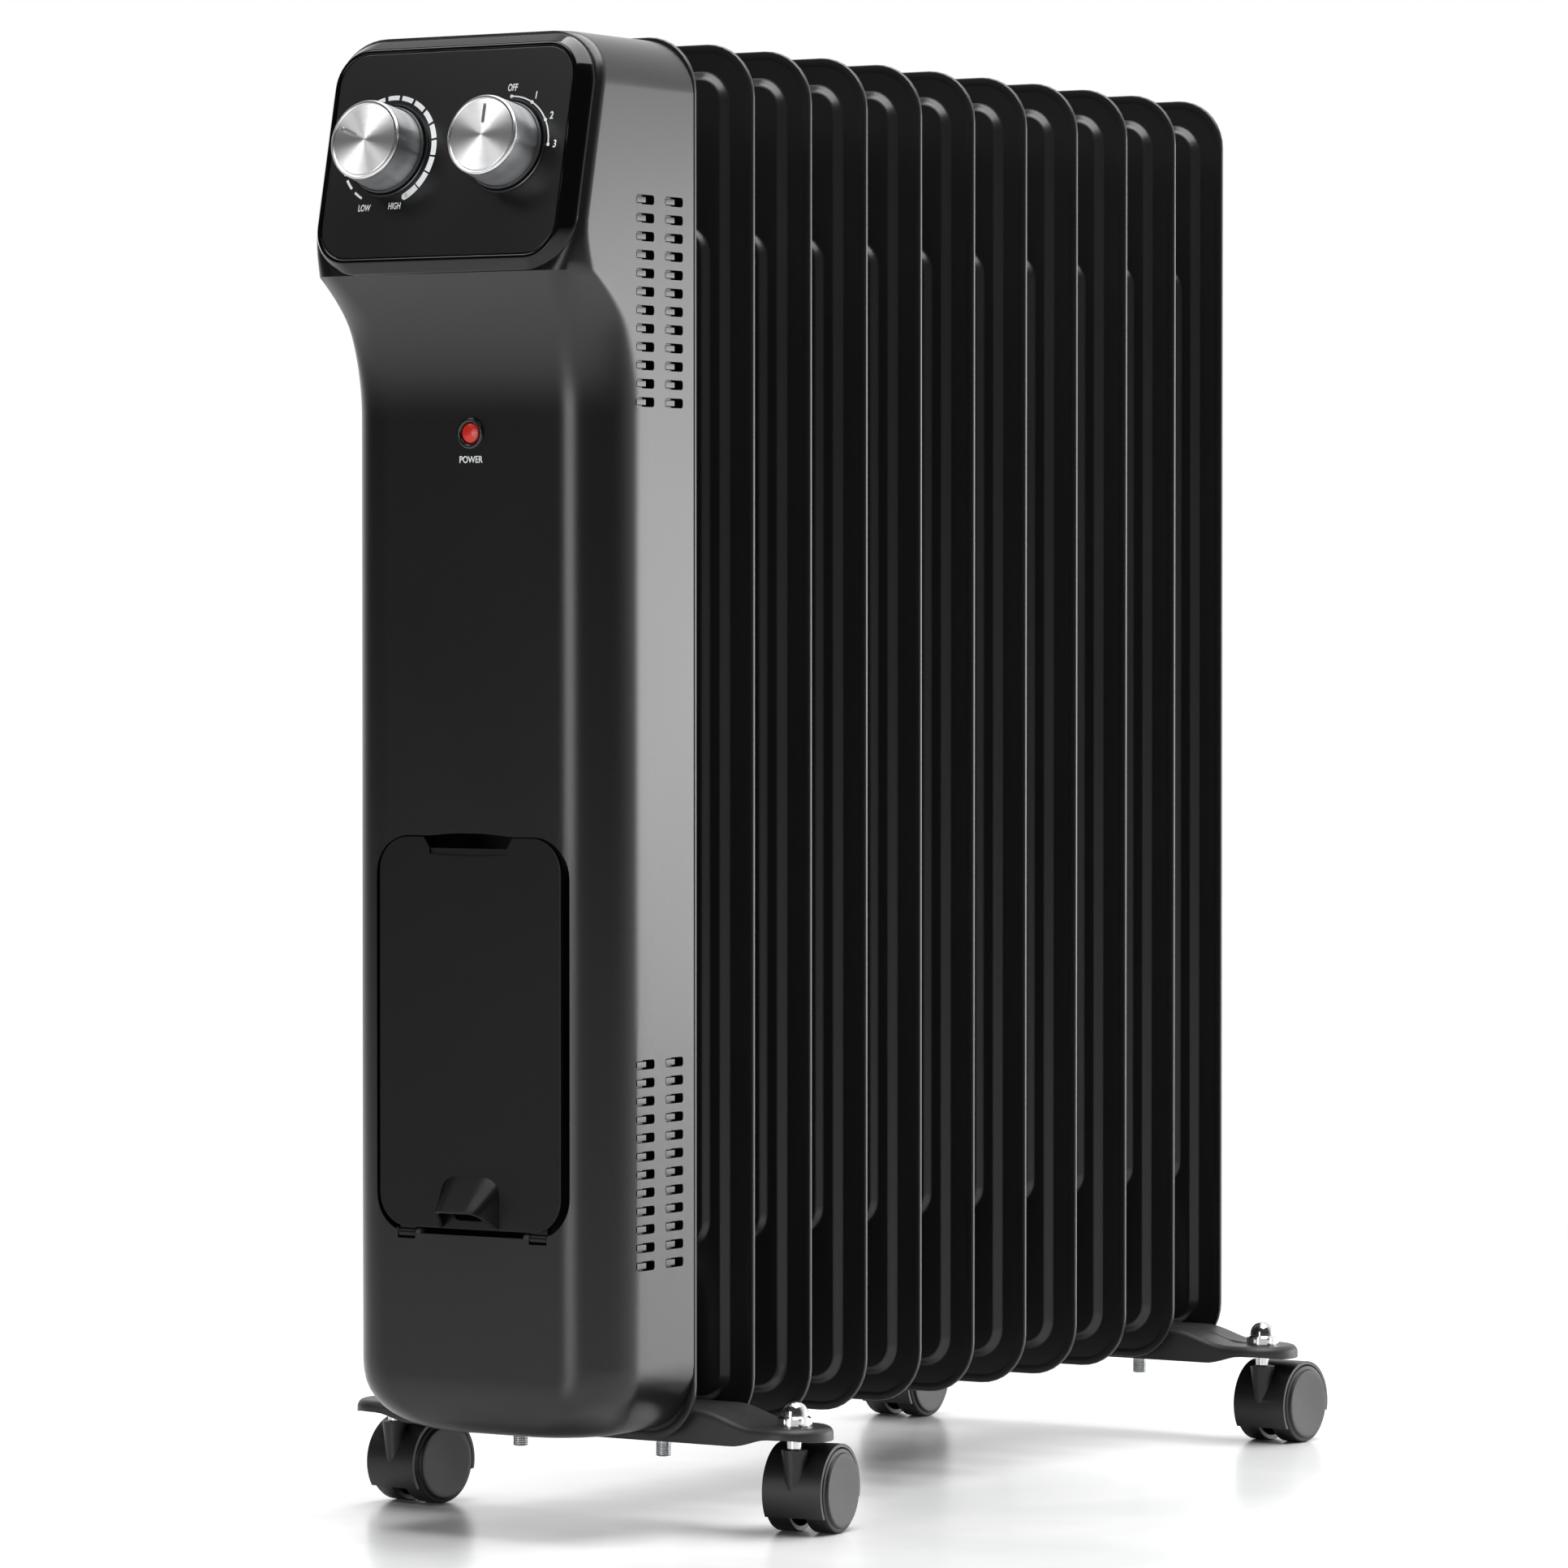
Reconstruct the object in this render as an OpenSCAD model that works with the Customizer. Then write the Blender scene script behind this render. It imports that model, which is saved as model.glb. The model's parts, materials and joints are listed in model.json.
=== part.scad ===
// Oil filled radiator heater: eleven pressed sections, a control housing and four twin-wheel casters.
// Millimetres. +Z is up, the control face looks to -Y, the sections stack towards +Y.
// The origin is the bottom centre of the whole heater, on the floor.

/* [Radiator sections] */
// Distance from one section to the next
fin_pitch = 45; // [40:0.5:60]
// Width of a section
fin_w = 135; // [120:1:170]
// Height of a section
fin_h = 585; // [460:5:720]
// Corner radius of a section's outline
fin_corner = 23; // [20:1:40]
// Height of the sections' lower edge above the floor
fin_clear = 39; // [39:1:60]
// Thickness of one pressed sheet
sheet_t = 0.6; // [0.5:0.1:1]
// Width of the hem folded round the outer edge
hem_w = 4.5; // [3:0.5:7]
// Distance from the outer edge to the oil channel
channel_inset = 13; // [9:0.5:18]
// Half thickness of a section over the oil channel
channel_rise = 4; // [2.5:0.25:6]
// Distance from the outer edge to the raised middle panel, at the sides
panel_inset = 20.7; // [19:0.1:30]
// Distance from the ends to the raised middle panel
panel_end = 79.5; // [79.5:0.5:120]
// Half thickness of a section over the raised middle panel
panel_rise = 6.5; // [5:0.25:9]
// Outer radius of the necks that join the sections
neck_r = 32.5; // [28:0.5:32.5]
// Distance from a section's end to the neck's axis
neck_end = 46; // [46:1:60]

/* [Control housing] */
// Width of the housing
house_w = 135; // [135:1:170]
// Depth of the housing below the head, in front of the first section
house_d = 64.6; // [58:0.2:90]
// Wall thickness of the housing
house_wall = 2.4; // [2:0.1:3]
// Radius of the housing's front vertical edges
house_edge = 25; // [15:1:28]
// Radius of the housing's corners seen from the front
house_corner = 26; // [22:1:36]
// Radius of the housing's lower front edge
house_toe = 22; // [10:1:26]
// Height of the housing's underside above the floor
house_z = 42.5; // [42:0.5:60]
// Height of the housing's top above the floor
house_top = 622.5; // [600:0.5:760]
// Lean of the control face
face_tilt = 12.5; // [6:0.5:16]
// Width of the control face
face_w = 121.4; // [118:0.2:124]
// Height of the control face
face_h = 92; // [90:0.5:93]
// Corner radius of the control face
face_corner = 16; // [10:1:20]
// How far the control face stands out of the housing below it
face_out = 27.5; // [22:0.5:32]
// Height over which the housing curves back below the head
sweep_h = 58; // [45:1:70]

/* [Knobs and lamp] */
// Distance between the two knobs
knob_gap = 58.4; // [50:0.2:62]
// Height of the knobs' axes above the lower edge of the face
dial_z = 47.8; // [44:0.2:50]
// Radius of a knob at its face
knob_r = 16.7; // [13:0.1:18]
// Distance from the control face to a knob's face
knob_h = 18; // [14:0.5:22]
// Radius of the knobs' shafts
shaft_r = 3; // [2.5:0.1:3.5]
// Where the thermostat knob's pointer rests, clockwise from the top
thermostat_rest = -67; // [-150:1:150]
// Where the selector knob's pointer rests, clockwise from the top
selector_rest = 0; // [0:1:90]
// Height of the power lamp above the floor
lamp_z = 458.6; // [420:0.2:462]

/* [Vents] */
// Length of a vent slot
vent_len = 13.4; // [10:0.2:15]
// Height of a vent slot
vent_gap = 4; // [3:0.1:5]
// Distance between rows
vent_pitch = 7.55; // [7:0.05:9]
// Rows in each group
vent_rows = 12; // [6:1:14]
// Height of the middle of the upper group
vent_upper = 512.6; // [500:0.2:530]
// Height of the middle of the lower group
vent_lower = 157; // [140:0.2:190]

/* [Cord compartment] */
// Width of the compartment's door
door_w = 91; // [70:0.5:94]
// Height of the compartment's door
door_h = 162.4; // [130:0.2:190]
// Height of the door's lower edge above the floor
door_z = 129.4; // [129:0.2:150]
// Corner radius of the door
door_corner = 14; // [8:1:20]
// Thickness of the door
door_t = 2.4; // [2:0.1:3]
// Gap beside the door
door_side_gap = 3; // [1.5:0.5:4]
// Depth of the compartment
box_d = 42; // [30:1:42]
// Radius of the hinge pins
pin_r = 1.2; // [1:0.1:1.5]
// Radius of the opening of the cord gland
gland_r = 4.2; // [3.5:0.1:5]

/* [Feet] */
// Length of a foot bracket
foot_len = 236; // [230:1:280]
// Width of a foot bracket
foot_w = 36; // [30:0.5:38]
// Height of the foot bracket's pads above the floor
foot_z = 46; // [46:0.5:70]
// Thickness of the foot bracket's steel
foot_t = 1.8; // [1.2:0.1:2.5]
// Distance between the two caster stems of a foot
stem_gap = 204; // [200:1:240]
// Radius of the rod of a U-bolt
ubolt_r = 3; // [2.5:0.25:3]

/* [Casters] */
// Radius of a caster wheel
wheel_r = 17.8; // [15:0.1:17.8]
// Width of a caster wheel
wheel_w = 11.4; // [9:0.1:13]
// Distance from the stem's axis to the wheels' axle
trail = 16; // [16:0.5:18]
// Radius of the stem inside the hood
stem_r = 2.4; // [2:0.1:2.4]
// Resting turn of the front right caster
turn_fr = 7; // [-180:1:180]
// Resting turn of the front left caster
turn_fl = -8; // [-180:1:180]
// Resting turn of the rear right caster
turn_rr = -3; // [-180:1:180]
// Resting turn of the rear left caster
turn_rl = 0; // [-180:1:180]

/* [Hidden] */
$fn = 64;

sections = 11;
fit = 0.05;            // radial clearance of a shaft that turns in a hole
gap = 0.3;             // clearance between pieces that sit side by side
eps = 0.5;             // how far a cut runs past a face

// radiator
fin_top = fin_clear + fin_h;
lower_neck_z = fin_clear + neck_end;
upper_neck_z = fin_top - neck_end;
neck_wall = 1.5;
bush_r = 24;           // bush on the first section that takes the element flange
bush_hole = 20;

// housing, measured from the first section's middle plane
rim_y = -(2 * sheet_t + 0.4);                // rear rim, just clear of the first section's hem
front_y = rim_y - house_d;                   // flat front below the head
face_y = front_y - face_out;                 // lower edge of the control face
bezel_rise = 6;                              // depth of the bezel's sloping skirt
bezel_flare = 4.8;                           // how far the skirt spreads at each side
bezel_drop = 3.5;                            // how far the skirt spreads below
face_top_gap = 1;                            // from the bezel's skirt up to the housing's top
face_z = house_top - face_top_gap - (face_h + bezel_flare) * cos(face_tilt) + bezel_rise * sin(face_tilt);
head_y = face_y - bezel_drop * sin(face_tilt) + bezel_rise * cos(face_tilt);
head_z = face_z - bezel_drop * cos(face_tilt) - bezel_rise * sin(face_tilt);
sweep_d = front_y - head_y;                  // how far the head overhangs the flat front
sweep_r = (sweep_h * sweep_h + sweep_d * sweep_d) / (2 * sweep_d);
head_edge = 2.5;                             // radius of the head's front vertical edges
half_w = house_w / 2;

// shield and what is fixed to it
shield_t = 0.8;
shield_y = -(panel_rise + 2.2 + shield_t);   // front face of the shield
boss_r = 4.5;
screw_r = 1.5;
boss_x = half_w - 11.5;
boss_low = house_z + 30;
boss_high = house_top - 26;

// door and compartment
door_play = -1;                              // the door sits against its left end stop
open_w = door_w + 2 * door_side_gap;
open_low = door_z - 2.6;
open_high = door_z + door_h + 0.5;
pin_y = front_y + 2;
pin_z = door_z - 2.5;
lug_x = 33;
lug_w = 8;
lug_r = 1.95;
ear_w = 2.6;
box_wall = 2;
box_y = front_y + house_wall;                // the compartment's rim lies on the wall's inner face
box_w = open_w + 2 * box_wall;
box_low = open_low - 4.3;
box_high = open_high + 3;
outlet_z = 13;                               // height of the cable hood's lip above the door's lower edge
gland_x = 27;
gland_z = open_low + 26;
gland_len = 11;

// feet and casters
front_foot_y = fin_pitch / 2;
rear_foot_y = (sections - 1.5) * fin_pitch;
stem_x = stem_gap / 2;
hood_wall = 1.5;
ubolt_x = neck_r + ubolt_r + 1;              // the U-bolt's legs, a little outside the neck
hood_gap = 0.4;                              // between a wheel's tread and the hood
hood_r = wheel_r + hood_gap + hood_wall;
web = 3.3;                                   // half thickness of the hood's middle web
hood_half = web + wheel_w - 1.2;             // half width of the hood
axle_r = 2;
stem_low = 22;
thread_r = 4;
collar_r = 3.1;                              // the stem between the hood and its washer
hood_top = wheel_r + hood_r;
boss_top = hood_top - 1.5;
corners = [
    [stem_x, front_foot_y, turn_fr], [-stem_x, front_foot_y, turn_fl],
    [stem_x, rear_foot_y, turn_rr], [-stem_x, rear_foot_y, turn_rl]
];

// the heater's middle along Y, so that the origin is under the middle of its box
function reach(turn) = (trail + hood_r) * cos(turn) + hood_half * abs(sin(turn));
front_end = face_y - knob_h * cos(face_tilt) + (dial_z - knob_r) * sin(face_tilt);
rear_end = rear_foot_y + max(reach(turn_rr), reach(turn_rl));
y0 = -(front_end + rear_end) / 2;

// ---------- shared shapes ----------

// rounded rectangle centred on the origin
module rounded(w, h, r) {
    square([w - 2 * r, h], center = true);
    square([w, h - 2 * r], center = true);
    for (sx = [-1, 1], sy = [-1, 1])
        translate([sx * (w / 2 - r), sy * (h / 2 - r)]) circle(r);
}

// stands a flat shape up: its X stays X, its Y becomes Z, thickness runs from y_from to y_to
module upright(y_from, y_to) {
    translate([0, y_to, 0]) rotate([90, 0, 0]) linear_extrude(y_to - y_from) children();
}

// puts a piece in the heater's frame
module placed() { translate([0, y0, 0]) children(); }

// frame of the control face: X across, Z up the face, -Y out of it
module on_face() {
    placed() translate([0, face_y, face_z]) rotate([-face_tilt, 0, 0]) children();
}

// cylinder along Y between two depths
module rod_y(r, y_from, y_to) { translate([0, y_to, 0]) rotate([90, 0, 0]) cylinder(r = r, h = y_to - y_from); }

// cylinder along X between two places
module rod_x(r, x_from, x_to) { translate([x_from, 0, 0]) rotate([0, 90, 0]) cylinder(r = r,
    h = x_to - x_from); }

// ---------- radiator ----------

module outline(inset, end_inset) {
    translate([0, fin_clear + fin_h / 2])
        rounded(fin_w - 2 * inset, fin_h - 2 * end_inset, max(fin_corner - inset, 14));
}

module slab(half, inset, end_inset) { upright(-half, half) outline(inset, end_inset); }

// one section: two pressed sheets with a hemmed edge, hollow over its oil channels
module fin(k) {
    first = k == 0;
    last = k == sections - 1;
    color([0.07, 0.07, 0.07]) placed() translate([0, k * fin_pitch, 0]) difference() {
        union() {
            slab(sheet_t, 0, 0);
            difference() {
                slab(2 * sheet_t, 0, 0);
                slab(3 * sheet_t, hem_w, hem_w);
            }
            slab(channel_rise, channel_inset, channel_inset);
            slab(panel_rise, panel_inset, panel_end);
            if (first) translate([0, 0, lower_neck_z]) rod_y(bush_r, shield_y + shield_t, 0);
        }
        slab(channel_rise - sheet_t, channel_inset + sheet_t, channel_inset + sheet_t);
        slab(panel_rise - sheet_t, panel_inset + sheet_t, panel_end + sheet_t);
        for (z = [lower_neck_z, upper_neck_z]) translate([0, 0, z])
            rod_y(neck_r - neck_wall - 4, first ? 0 : -channel_rise - eps, last ? 0 : channel_rise + eps);
        if (first) translate([0, 0, lower_neck_z]) rod_y(bush_hole, shield_y - eps, 0);
    }
}

// the welded necks between neighbouring sections
module section_necks() {
    color([0.07, 0.07, 0.07]) placed()
        for (k = [0 : sections - 2], z = [lower_neck_z, upper_neck_z])
            translate([0, k * fin_pitch, z]) difference() {
                rod_y(neck_r, channel_rise, fin_pitch - channel_rise);
                rod_y(neck_r - neck_wall, channel_rise - eps, fin_pitch - channel_rise + eps);
            }
}

element_r = 4.25;
element_gap = 9;       // half distance between the legs of one heating element
element_low = 9;       // how far the elements lie from the neck's axis
element_end = (sections - 1.6) * fin_pitch;

module heating_elements() {
    color("silver") placed() for (s = [-1, 1]) translate([0, 0, lower_neck_z + s * element_low]) {
        for (sx = [-1, 1]) translate([sx * element_gap, 0, 0])
            rod_y(element_r, shield_y - 16, element_end);
        translate([0, element_end, 0]) rotate_extrude(angle = 180) translate([element_gap, 0])
            circle(element_r);
    }
}

module element_flange() {
    color("goldenrod") placed() translate([0, 0, lower_neck_z]) difference() {
        union() {
            translate([0, shield_y, 0]) rotate([90, 0, 0]) cylinder(r = 28, h = 6, $fn = 6);
            rod_y(bush_hole, shield_y, -channel_rise);
        }
        for (s = [-1, 1], sx = [-1, 1]) translate([sx * element_gap, 0, s * element_low])
            rod_y(element_r, shield_y - 10, 0);
    }
}

module oil_plug() {
    color("goldenrod") placed() translate([0, (sections - 1) * fin_pitch + channel_rise, upper_neck_z])
        rotate([-90, 0, 0]) {
            cylinder(r = 9, h = 3);
            translate([0, 0, 3]) cylinder(r = 7, h = 4, $fn = 6);
        }
}

module heat_shield() {
    color("gainsboro") placed() difference() {
        union() {
            upright(shield_y, shield_y + shield_t) shield_outline(4);
            difference() {
                upright(shield_y, rim_y - 1) shield_outline(4);
                upright(shield_y - eps, rim_y + eps) shield_outline(4 + shield_t);
            }
        }
        translate([0, 0, lower_neck_z]) rod_y(bush_hole, shield_y - eps, 0);
        for (sx = [-1, 1], z = [boss_low, boss_high]) translate([sx * boss_x, 0, z])
            rod_y(screw_r + 0.2, shield_y - eps, 0);
        for (row = [-1 : 1], z = [-3 : 3]) translate([row * 30, 0, (fin_clear + fin_top) / 2 + z * 24 + 60])
            rod_y(3, shield_y - eps, 0);
    }
}

module shield_outline(inset) {
    translate([0, (house_z + house_top) / 2])
        rounded(house_w - 2 * (house_wall + inset), house_top - house_z - 2 * (house_wall + inset),
            house_corner - house_wall - inset);
}

// ---------- housing ----------

// the front of the housing at height z
function toe(z) = z >= house_z + house_toe ? 0
    : house_toe - sqrt(max(0, house_toe * house_toe - pow(house_z + house_toe - z, 2)));
function sweep(z) = z <= head_z - sweep_h ? 0
    : sweep_r - sqrt(sweep_r * sweep_r - pow(min(z, head_z) - head_z + sweep_h, 2));
function lean(z) = z <= head_z ? 0 : (z - head_z) * tan(face_tilt);
function front_at(z) = front_y + toe(z) - sweep(z) + lean(z);

// half width of the housing at height z, rounded towards its top and bottom
function narrowing(d) = d >= house_corner ? 0
    : house_corner - sqrt(max(0, house_corner * house_corner - pow(house_corner - d, 2)));
function half_at(z) = half_w - narrowing(min(z - house_z, house_top - z));

// radius of the front vertical edges, which tighten from the body to the head
function blend(t) = t * t * (3 - 2 * t);
function edge_at(z) = house_edge
    + (head_edge - house_edge) * blend(min(1, max(0, (z - head_z + 24) / 46)));

// plan section at height z, with the outline moved in by t
corner_steps = 7;
function section(z, t) = let (
        h = half_at(z) - t,
        f = front_at(z) + t,
        r = max(1, min(edge_at(z) - t, h - 1)),
        back = t > 0 ? rim_y + 3 : rim_y
    ) concat(
        [[h, back, z]],
        [for (i = [0 : corner_steps]) let (a = 90 * i / corner_steps)
            [h - r + r * cos(a), f + r - r * sin(a), z]],
        [for (i = [0 : corner_steps]) let (a = 90 - 90 * i / corner_steps)
            [-(h - r + r * cos(a)), f + r - r * sin(a), z]],
        [[-h, back, z]]
    );

// heights of the sections: close together where the outline curves
function arc_heights(from, r, up) = [for (a = [0 : 15 : 75]) from + up * r * (1 - cos(a))];
function ring_heights(t) = concat(
    [for (a = [0, 20, 40, 60, 80]) house_z + t + (house_corner - t) * (1 - cos(a))],
    [house_z + house_corner + 4],
    [for (i = [0 : 9]) head_z - sweep_h + i * sweep_h / 9],
    [for (i = [1 : 3]) head_z + i * 7],
    [for (a = [80, 60, 40, 20, 0]) house_top - t - (house_corner - t) * (1 - cos(a))]
);

module loft(t) {
    heights = ring_heights(t);
    rings = [for (z = heights) section(z, t)];
    n = len(rings[0]);
    m = len(rings);
    points = [for (ring = rings) each ring];
    sides = [for (j = [0 : m - 2], i = [0 : n - 1]) let (a = j * n + i, b = j * n + (i + 1) % n)
        each [[a, b, b + n], [a, b + n, a + n]]];
    bottom = [for (i = [1 : n - 2]) [0, i + 1, i]];
    top = [for (i = [1 : n - 2]) [(m - 1) * n, (m - 1) * n + i, (m - 1) * n + i + 1]];
    polyhedron(points, concat(sides, bottom, top));
}

// vent slots cut through both side walls
vent_y = [rim_y - 36.2, rim_y - 14.7];
module vent_cuts() {
    for (y = vent_y, z = [vent_lower, vent_upper], row = [0 : vent_rows - 1])
        translate([0, y, z + (row - (vent_rows - 1) / 2) * vent_pitch])
            cube([house_w + 4, vent_len, vent_gap], center = true);
}

module door_outline(w, h, r) { translate([0, door_z + door_h / 2]) rounded(w, h, r); }

module control_housing() {
    color([0.1, 0.1, 0.1]) placed() difference() {
        union() {
            difference() {
                loft(0);
                loft(house_wall);
            }
            // screw bosses with a rib to the side wall, ending in the thickness of the skin
            intersection() {
                loft(house_wall / 2);
                for (sx = [-1, 1], z = [boss_low, boss_high]) translate([sx * boss_x, 0, z]) {
                    rod_y(boss_r, head_y, shield_y);
                    translate([sx > 0 ? 0 : -half_w, head_y, -1]) cube([half_w, shield_y - head_y, 2]);
                }
            }
        }
        for (sx = [-1, 1], z = [boss_low, boss_high]) translate([sx * boss_x, 0, z])
            rod_y(screw_r - 0.3, shield_y - 14, shield_y + eps);
        vent_cuts();
        // opening of the cord compartment
        upright(front_y - 1, front_y + house_wall + 1)
            translate([0, (open_low + open_high) / 2]) rounded(open_w, open_high - open_low,
                door_corner + door_side_gap);
        // room for the door's hinge lugs
        for (sx = [-1, 1]) translate([sx * lug_x, pin_y, pin_z])
            cube([lug_w + 2 * ear_w + 2.4, 2 * house_wall + 4, 6.4], center = true);
        translate([0, 0, lamp_z]) rod_y(lamp_hole + 0.1, front_y - 1, front_y + house_wall + 1);
        // opening behind the control face
        translate([0, face_y, face_z]) rotate([-face_tilt, 0, 0])
            upright(bezel_rise - 1, bezel_rise + 7) translate([0, face_h / 2]) rounded(face_w - 14,
                face_h - 14, 9);
    }
}

// ---------- control face ----------

frame_w = 2.2;         // width of the bezel's rim round the panel
panel_t = 2.4;
tray_t = 2.4;          // floor of the bezel behind the panel
plug_in = 4;           // how far the bezel's back reaches into the head
collar_hole = 5.5;     // opening in the panel round each shaft

module face_outline(grow_w, grow_low, grow_high, r) {
    translate([0, face_h / 2 + (grow_high - grow_low) / 2])
        rounded(face_w + 2 * grow_w, face_h + grow_low + grow_high, r);
}

module face_bezel() {
    color([0.05, 0.05, 0.05]) on_face() difference() {
        union() {
            hull() {
                upright(0, 0.2) face_outline(0, 0, 0, face_corner, $fn = 32);
                upright(bezel_rise - 0.6, bezel_rise)
                    face_outline(bezel_flare, bezel_drop, bezel_flare, face_corner + 4, $fn = 32);
            }
            upright(bezel_rise - 1, bezel_rise + plug_in)
                translate([0, face_h / 2]) rounded(face_w - 14.6, face_h - 14.6, 8.7);
        }
        upright(-eps, panel_t + 0.2) face_outline(-frame_w, -frame_w, -frame_w, face_corner - frame_w);
        // hollow back
        upright(panel_t + 0.2 + tray_t, bezel_rise + plug_in + eps)
            translate([0, face_h / 2]) rounded(face_w - 18, face_h - 18, 7);
        for (sx = [-1, 1]) translate([sx * knob_gap / 2, 0, dial_z]) rod_y(collar_hole, -eps,
            bezel_rise + plug_in);
    }
}

module face_panel() {
    inset = frame_w + 0.15;
    color([0.03, 0.03, 0.03]) on_face() difference() {
        upright(0.2, panel_t + 0.2) face_outline(-inset, -inset, -inset, face_corner - inset);
        for (sx = [-1, 1]) translate([sx * knob_gap / 2, 0, dial_z]) rod_y(collar_hole, -eps, panel_t + 1);
    }
}

control_y = panel_t + 0.2 + tray_t;          // front of the thermostat and the selector
module on_dial(side) { on_face() translate([side * knob_gap / 2, 0, dial_z]) children(); }

module thermostat_body() {
    color("tan") on_dial(-1) difference() {
        union() {
            translate([-17, control_y, -14]) cube([34, 16, 28]);
            rod_y(9, control_y + 15, control_y + 24);
        }
        rod_y(shaft_r + fit, control_y - eps, control_y + 12 + gap);
    }
}

module selector_body() {
    color("ivory") on_dial(1) difference() {
        union() {
            translate([-15, control_y, -15]) cube([30, 20, 30]);
            for (x = [-10, -3, 4, 11]) translate([x - 0.4, control_y + 19.5, -3]) cube([0.8, 8.5, 6.3]);
        }
        rod_y(shaft_r + fit, control_y - eps, control_y + 12 + gap);
    }
}

shaft_tip = -(knob_h - 6);
module control_shaft(side) { color("silver") on_dial(side) rod_y(shaft_r, shaft_tip, control_y + 12); }
module thermostat_shaft() { control_shaft(-1); }
module selector_shaft() { control_shaft(1); }

cap_t = 1;             // thickness of the knob's metal cap
knob_gap_y = 0.8;      // from the panel to the knob's base
skirt_flange = 1.4;    // thickness of the dark flange at the knob's base
knob_base_r = knob_r + 0.6;

// dark core of a knob, with a thin flange at its base
module knob_core(side) {
    color([0.08, 0.08, 0.08]) on_dial(side) difference() {
        union() {
            rod_y(knob_base_r + 1.1, -knob_gap_y - skirt_flange, -knob_gap_y);
            translate([0, -knob_gap_y, 0]) rotate([90, 0, 0])
                cylinder(r = knob_r - cap_t, h = knob_h - cap_t - knob_gap_y);
        }
        rod_y(shaft_r, shaft_tip, 1);
    }
}

// turned metal cap of a knob, with its pointer groove
module knob_cap(side, rest) {
    color("silver") on_dial(side) rotate([0, rest, 0]) difference() {
        translate([0, -knob_gap_y - skirt_flange, 0]) rotate([90, 0, 0])
            cylinder(r1 = knob_base_r, r2 = knob_r, h = knob_h - knob_gap_y - skirt_flange);
        rod_y(knob_r - cap_t, -knob_h + cap_t, 0);
        for (z = [4.6, 13.4]) translate([0, 0, z]) rod_y(0.8, -knob_h - eps, -knob_h + 0.4);
        translate([-0.8, -knob_h - eps, 4.6]) cube([1.6, eps + 0.4, 8.8]);
    }
}

module thermostat_knob() { knob_core(-1); }
module selector_knob() { knob_core(1); }
module thermostat_cap() { knob_cap(-1, thermostat_rest); }
module selector_cap() { knob_cap(1, selector_rest); }

// ---------- lamp ----------

lamp_hole = 5;
lamp_r = 4.3;
module at_lamp() { placed() translate([0, front_y, lamp_z]) children(); }

module lamp_bezel() {
    color([0.05, 0.05, 0.05]) at_lamp() difference() {
        union() {
            rod_y(6.6, -1.4, 0);
            rod_y(lamp_hole, -1, 16);
        }
        rod_y(lamp_r, -2, 14);
    }
}

module lamp_lens() {
    color([0.7, 0.05, 0.03]) at_lamp() {
        rod_y(lamp_r, -0.9, 12);
        translate([0, -0.9, 0]) rotate([90, 0, 0]) cylinder(r1 = lamp_r - 0.3, r2 = lamp_r - 1.6, h = 0.9);
    }
}

// ---------- cord compartment ----------

module hinge_side(sx) { placed() translate([sx * lug_x, pin_y, pin_z]) children(); }

module cord_compartment() {
    height = box_high - box_low;
    color([0.13, 0.13, 0.13]) difference() {
        union() {
            // the tray, its rim following the inside of the housing's wall
            placed() translate([0, 0, box_low]) difference() {
                linear_extrude(height) intersection() {
                    translate([-box_w / 2, box_y]) square([box_w, box_d + box_wall]);
                    polygon([for (p = section(door_z, house_wall)) [p[0], p[1]]]);
                }
                translate([-open_w / 2, box_y - 1, box_wall]) cube([open_w, box_d + 1, height - 2 * box_wall]);
            }
            // ears that carry the hinge pins
            for (sx = [-1, 1], e = [-1, 1]) hinge_side(sx) translate([e * (lug_w + ear_w + 1) / 2, 0, 0]) {
                rod_x(lug_r, -ear_w / 2, ear_w / 2);
                translate([-ear_w / 2, house_wall - 1.9, box_low + 1 - pin_z])
                    cube([ear_w, 5, pin_z - box_low]);
            }
        }
        for (sx = [-1, 1]) hinge_side(sx) rod_x(pin_r, -12, 12);
        placed() translate([gland_x, 0, gland_z]) rod_y(gland_r + 2.5, box_y, 0);
    }
}

module door_pins() {
    half = lug_w / 2 + 0.5 + ear_w;
    color("silver") for (sx = [-1, 1]) hinge_side(sx) rod_x(pin_r, -half, half);
}

hood_w = 18;           // width of the cable hood at its lip
hood_base = 30;        // width of the cable hood at the door's lower edge
hood_h = 22;           // height of the cable hood
hood_out = 12.5;       // how far the cable hood stands out of the door

// the solid under the cable hood's skin, moved in by t
module hood_form(t) {
    hull() {
        translate([-hood_w / 2 + t, -t, hood_h - 1 - t]) cube([hood_w - 2 * t, 1 + t, 1]);
        for (sx = [-1, 1]) translate([sx * (hood_w / 2 - 3), -hood_out + 3, outlet_z - 5])
            sphere(3 - t, $fn = 24);
        translate([-hood_base / 2 + t, -t, -t]) cube([hood_base - 2 * t, 1 + t, 4]);
        translate([-hood_w / 2 + t, -hood_out + 3, outlet_z - 7 - t]) cube([hood_w - 2 * t, 3, 2]);
    }
}

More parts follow.
